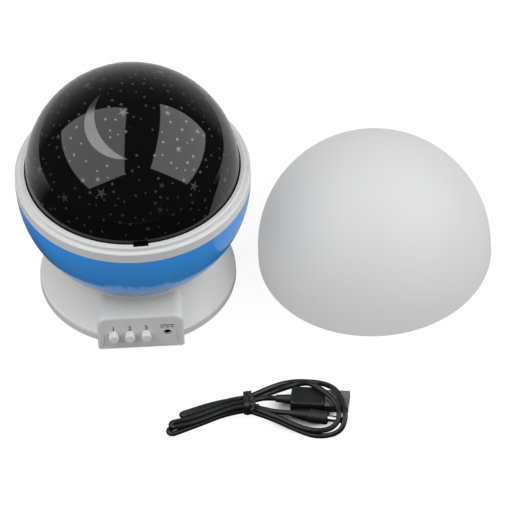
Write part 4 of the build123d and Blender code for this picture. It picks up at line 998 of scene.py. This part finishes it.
def stage_piece(name, points, faces, material):
    """A piece of the set."""
    mesh = mesh_from(name, points, faces)
    mesh.materials.append(material)
    piece = new_object(name, mesh)
    return piece


print("table:", 2 * TABLE_R, "mm across")

# %% [markdown]
# A camera sees the table plain white with a faint shadow. Inside the cable's loop, where little
# light gets in, it keeps the whole shadow, and a painted shade darkens that patch further. Light
# that goes on from it is that of a grey laminate. A mirror sees painted light and shade on it: dark
# in front of the lamp and brighter behind, as if a far wall lit the table. An even white would be
# simpler, but it would wash out the dome's lower edge.

# %% Table finish
TABLE_FADE = (150.0, 330.0)     # the shadow fades out between these distances
TABLE_LIGHT = 0.74              # what an even white would send back here
TABLE_BOUNCE = 0.45             # grey of the laminate for light that goes on
# painted light and shade: the greys that mirrors see, dark in front of the lamp and paler behind
PAINTED_MIRROR_GREYS = (0.02, 0.60)   # and in mirrors, in front of the lamp and behind it
FRONT_AT, FRONT_SIZE = (0.0, -190.0, 0.0), (800.0, 270.0, 270.0)
FRONT_EDGE = (0.75, 1.05)       # the front ends here, as a share of its size
SHADOW_KEPT = 0.10              # share of the shadows that a camera sees
POCKET_AT = (84.0, -107.5, 0.0) # the space inside the cable's loop
POCKET_SIZE = (19.0, 15.0, 5.0)
POCKET_EDGE = (0.7, 1.2)
# painted shade: the table's colour inside the cable's loop is darkened to this share
POCKET_PAINTED_SHADE = 0.4               # how bright the pocket is, as a share of what lies round it


def matt_glow(tree, shader, colour, glow):
    """A colour without any sheen, and white light of its own."""
    feed(tree, shader, Base_Color=colour, Specular_IOR_Level=0.0)
    feed(tree, shader, Emission_Color=WHITE, Emission_Strength=glow)


def distance_from(tree, vector, centre, stretch):
    """Length of the vector from a centre, each axis divided by its stretch; both in millimetres."""
    away = vector_node(tree, "SUBTRACT", vector, np.array(centre) * MM)
    return vector_node(tree, "LENGTH", vector_node(tree, "DIVIDE", away, np.array(stretch) * MM))


def table_finish():
    """White laminate. Where light falls on it freely, a camera sees plain white: a glow and the
    laminate's own light add up to 1, and only the laminate's share darkens in a shadow."""
    material, tree, shader = new_material("white_table")
    vector = object_vector(tree)
    path = tree.nodes.new("ShaderNodeLightPath").outputs
    shadow = ramp(tree, distance_from(tree, vector, (0, 0, 0), (1, 1, 1)), *TABLE_FADE, SHADOW_KEPT, 0.0)
    pocket = distance_from(tree, vector, POCKET_AT, POCKET_SIZE)
    kept = math_node(tree, "MAXIMUM", shadow, ramp(tree, pocket, *POCKET_EDGE, 1.0, 0.0))
    seen = math_node(tree, "DIVIDE", kept, TABLE_LIGHT)
    # painted shade: the table's own colour is darkened inside the cable's loop
    seen = math_node(tree, "MULTIPLY", seen, ramp(tree, pocket, *POCKET_EDGE, POCKET_PAINTED_SHADE, 1.0))
    # painted light and shade for mirrors: the table darker in front of the lamp and paler behind
    front = distance_from(tree, vector, FRONT_AT, FRONT_SIZE)
    mirrored = ramp(tree, front, *FRONT_EDGE, *PAINTED_MIRROR_GREYS)
    grey = mixed(tree, "FLOAT", path["Is Glossy Ray"], TABLE_BOUNCE, mirrored)
    grey = mixed(tree, "FLOAT", path["Is Camera Ray"], grey, seen)
    tone = place_group(tree, DRIFT, vector, Colour=grey, Drift=0.01, Patch_Scale=8.0)
    glow = mixed(tree, "FLOAT", path["Is Camera Ray"], 0.0, math_node(tree, "SUBTRACT", 1.0, kept))
    matt_glow(tree, shader, tone["Colour"], glow)
    feed(tree, shader, Roughness=0.7)
    return material


table = stage_piece("table", *stage_disc(), table_finish())
print("finish:", table.data.materials[0].name)

# %% [markdown]
# ## Room
# The room round the table is dark, which is what the dome mirrors between the softboxes, and its
# far wall is paler, most at the horizon, which draws the soft edge at the dome's limb. The room is
# a shell that only mirrors see, so that it takes no light away. A picture of a studio round the
# world could do the same, but the shell's pale wall is told in a few numbers.

# %% Room
ROOM_R = 2600.0
ROOM_DIM = 0.035
FAR_WALL = (0.5, 0.95)          # the far wall begins and is full here, as shares of the radius
WALL_GLOW = (0.50, 0.10)        # of the far wall, at the horizon and at its top
WALL_TOP = 1600.0
ROOM_POLE = 0.01                # radians left open at the top and the bottom


def room_finish():
    """A dark room whose far wall is paler, most at the horizon."""
    material, tree, shader = new_material("dark_room")
    at = axes_of(tree, object_vector(tree))
    far = ramp(tree, at["Y"], *(share * ROOM_R * MM for share in FAR_WALL), 0.0, 1.0)
    high = ramp(tree, at["Z"], 0.0, WALL_TOP * MM, *WALL_GLOW)
    glow = math_node(tree, "ADD", math_node(tree, "MULTIPLY", far, high), ROOM_DIM)
    matt_glow(tree, shader, (0.0, 0.0, 0.0, 1.0), glow)
    return material


def room_shell():
    """A sphere round everything: radius x direction, over a grid of latitudes and longitudes."""
    rings, spokes = 24, 48
    rows = np.linspace(-np.pi / 2 + ROOM_POLE, np.pi / 2 - ROOM_POLE, rings)
    lat, lon = np.meshgrid(np.degrees(rows), np.degrees(around(spokes)), indexing="ij")
    return ROOM_R * direction(lon, lat).reshape(-1, 3), grid_quads(rings, spokes, wrap_columns=True)


room = stage_piece("dark_room", *room_shell(), room_finish())
room.visible_camera = False
room.visible_diffuse = False
room.visible_transmission = False
room.visible_shadow = False
room.visible_volume_scatter = False
print("room:", 2 * ROOM_R, "mm across")

# %% [markdown]
# ## World and softboxes
# The world is white where a camera looks straight at it and a dim fill for the rest. A softbox
# could be dragged about until its reflection sits right, but here it is an area lamp set by where
# its middle is seen from the dome, by its two edges and by how bright its cloth is. A lamp's power
# is its cloth's brightness times pi times its area, so the numbers stay plain.

# %% World and softboxes
WORLD_FILL = 0.14
DOME_AT = np.array([0.0, 0.0, 81.0])
SOFTBOX_AWAY = 1000.0
SOFTBOXES = {
    # middle, wide edge, long edge: seen from the dome at a distance of 1; brightness of the cloth
    "left_softbox": ((-0.632, -0.342, 0.695), (1.010, -0.104, 0.610), (-0.142, -1.610, 0.072), 1.95),
    "right_softbox": ((0.856, -0.094, 0.509), (0.884, -0.043, -0.531), (-0.159, -1.283, -0.090), 2.35),
}


def make_world(fill):
    """White where a camera, a mirror or clear plastic sees it, and a dim grey that lights the rest."""
    world = bpy.data.worlds.new("studio")
    world.use_nodes = True
    bpy.context.scene.world = world
    tree = world.node_tree
    path = tree.nodes.new("ShaderNodeLightPath").outputs
    seen = math_node(tree, "ADD", path["Is Camera Ray"], path["Is Glossy Ray"])
    seen = math_node(tree, "ADD", seen, path["Is Transmission Ray"])
    strength = ramp(tree, seen, 0.0, 1.0, fill, 1.0)
    feed(tree, tree.nodes["Background"], Color=WHITE, Strength=strength)


def make_softbox(name, middle, wide, long, brightness):
    """Area lamp whose face has the given middle and edges, shining at the dome."""
    middle, wide, long = (np.array(v) * SOFTBOX_AWAY * MM for v in (middle, wide, long))
    size = np.linalg.norm(wide), np.linalg.norm(long)
    x_axis, back = unit(wide), unit(np.cross(wide, long))
    if back @ middle < 0:
        back = -back
    data = bpy.data.lights.new(name, "AREA")
    data.shape = "RECTANGLE"
    data.size, data.size_y = size
    data.energy = brightness * np.pi * size[0] * size[1]
    lamp = new_object(name, data)
    place_by_axes(lamp, np.array([x_axis, np.cross(back, x_axis), back]).T, DOME_AT * MM + middle)
    lamp.visible_camera = False
    return lamp


make_world(WORLD_FILL)
for name, values in SOFTBOXES.items():
    lamp = make_softbox(name, *values)
    print(name, "power", round(lamp.data.energy, 1), "W")

# %% [markdown]
# ## Close
# The view is plain: no tone curve and no compositor, so that a colour shows as it is written.

# %% Close
bpy.context.scene.view_settings.view_transform = "Standard"
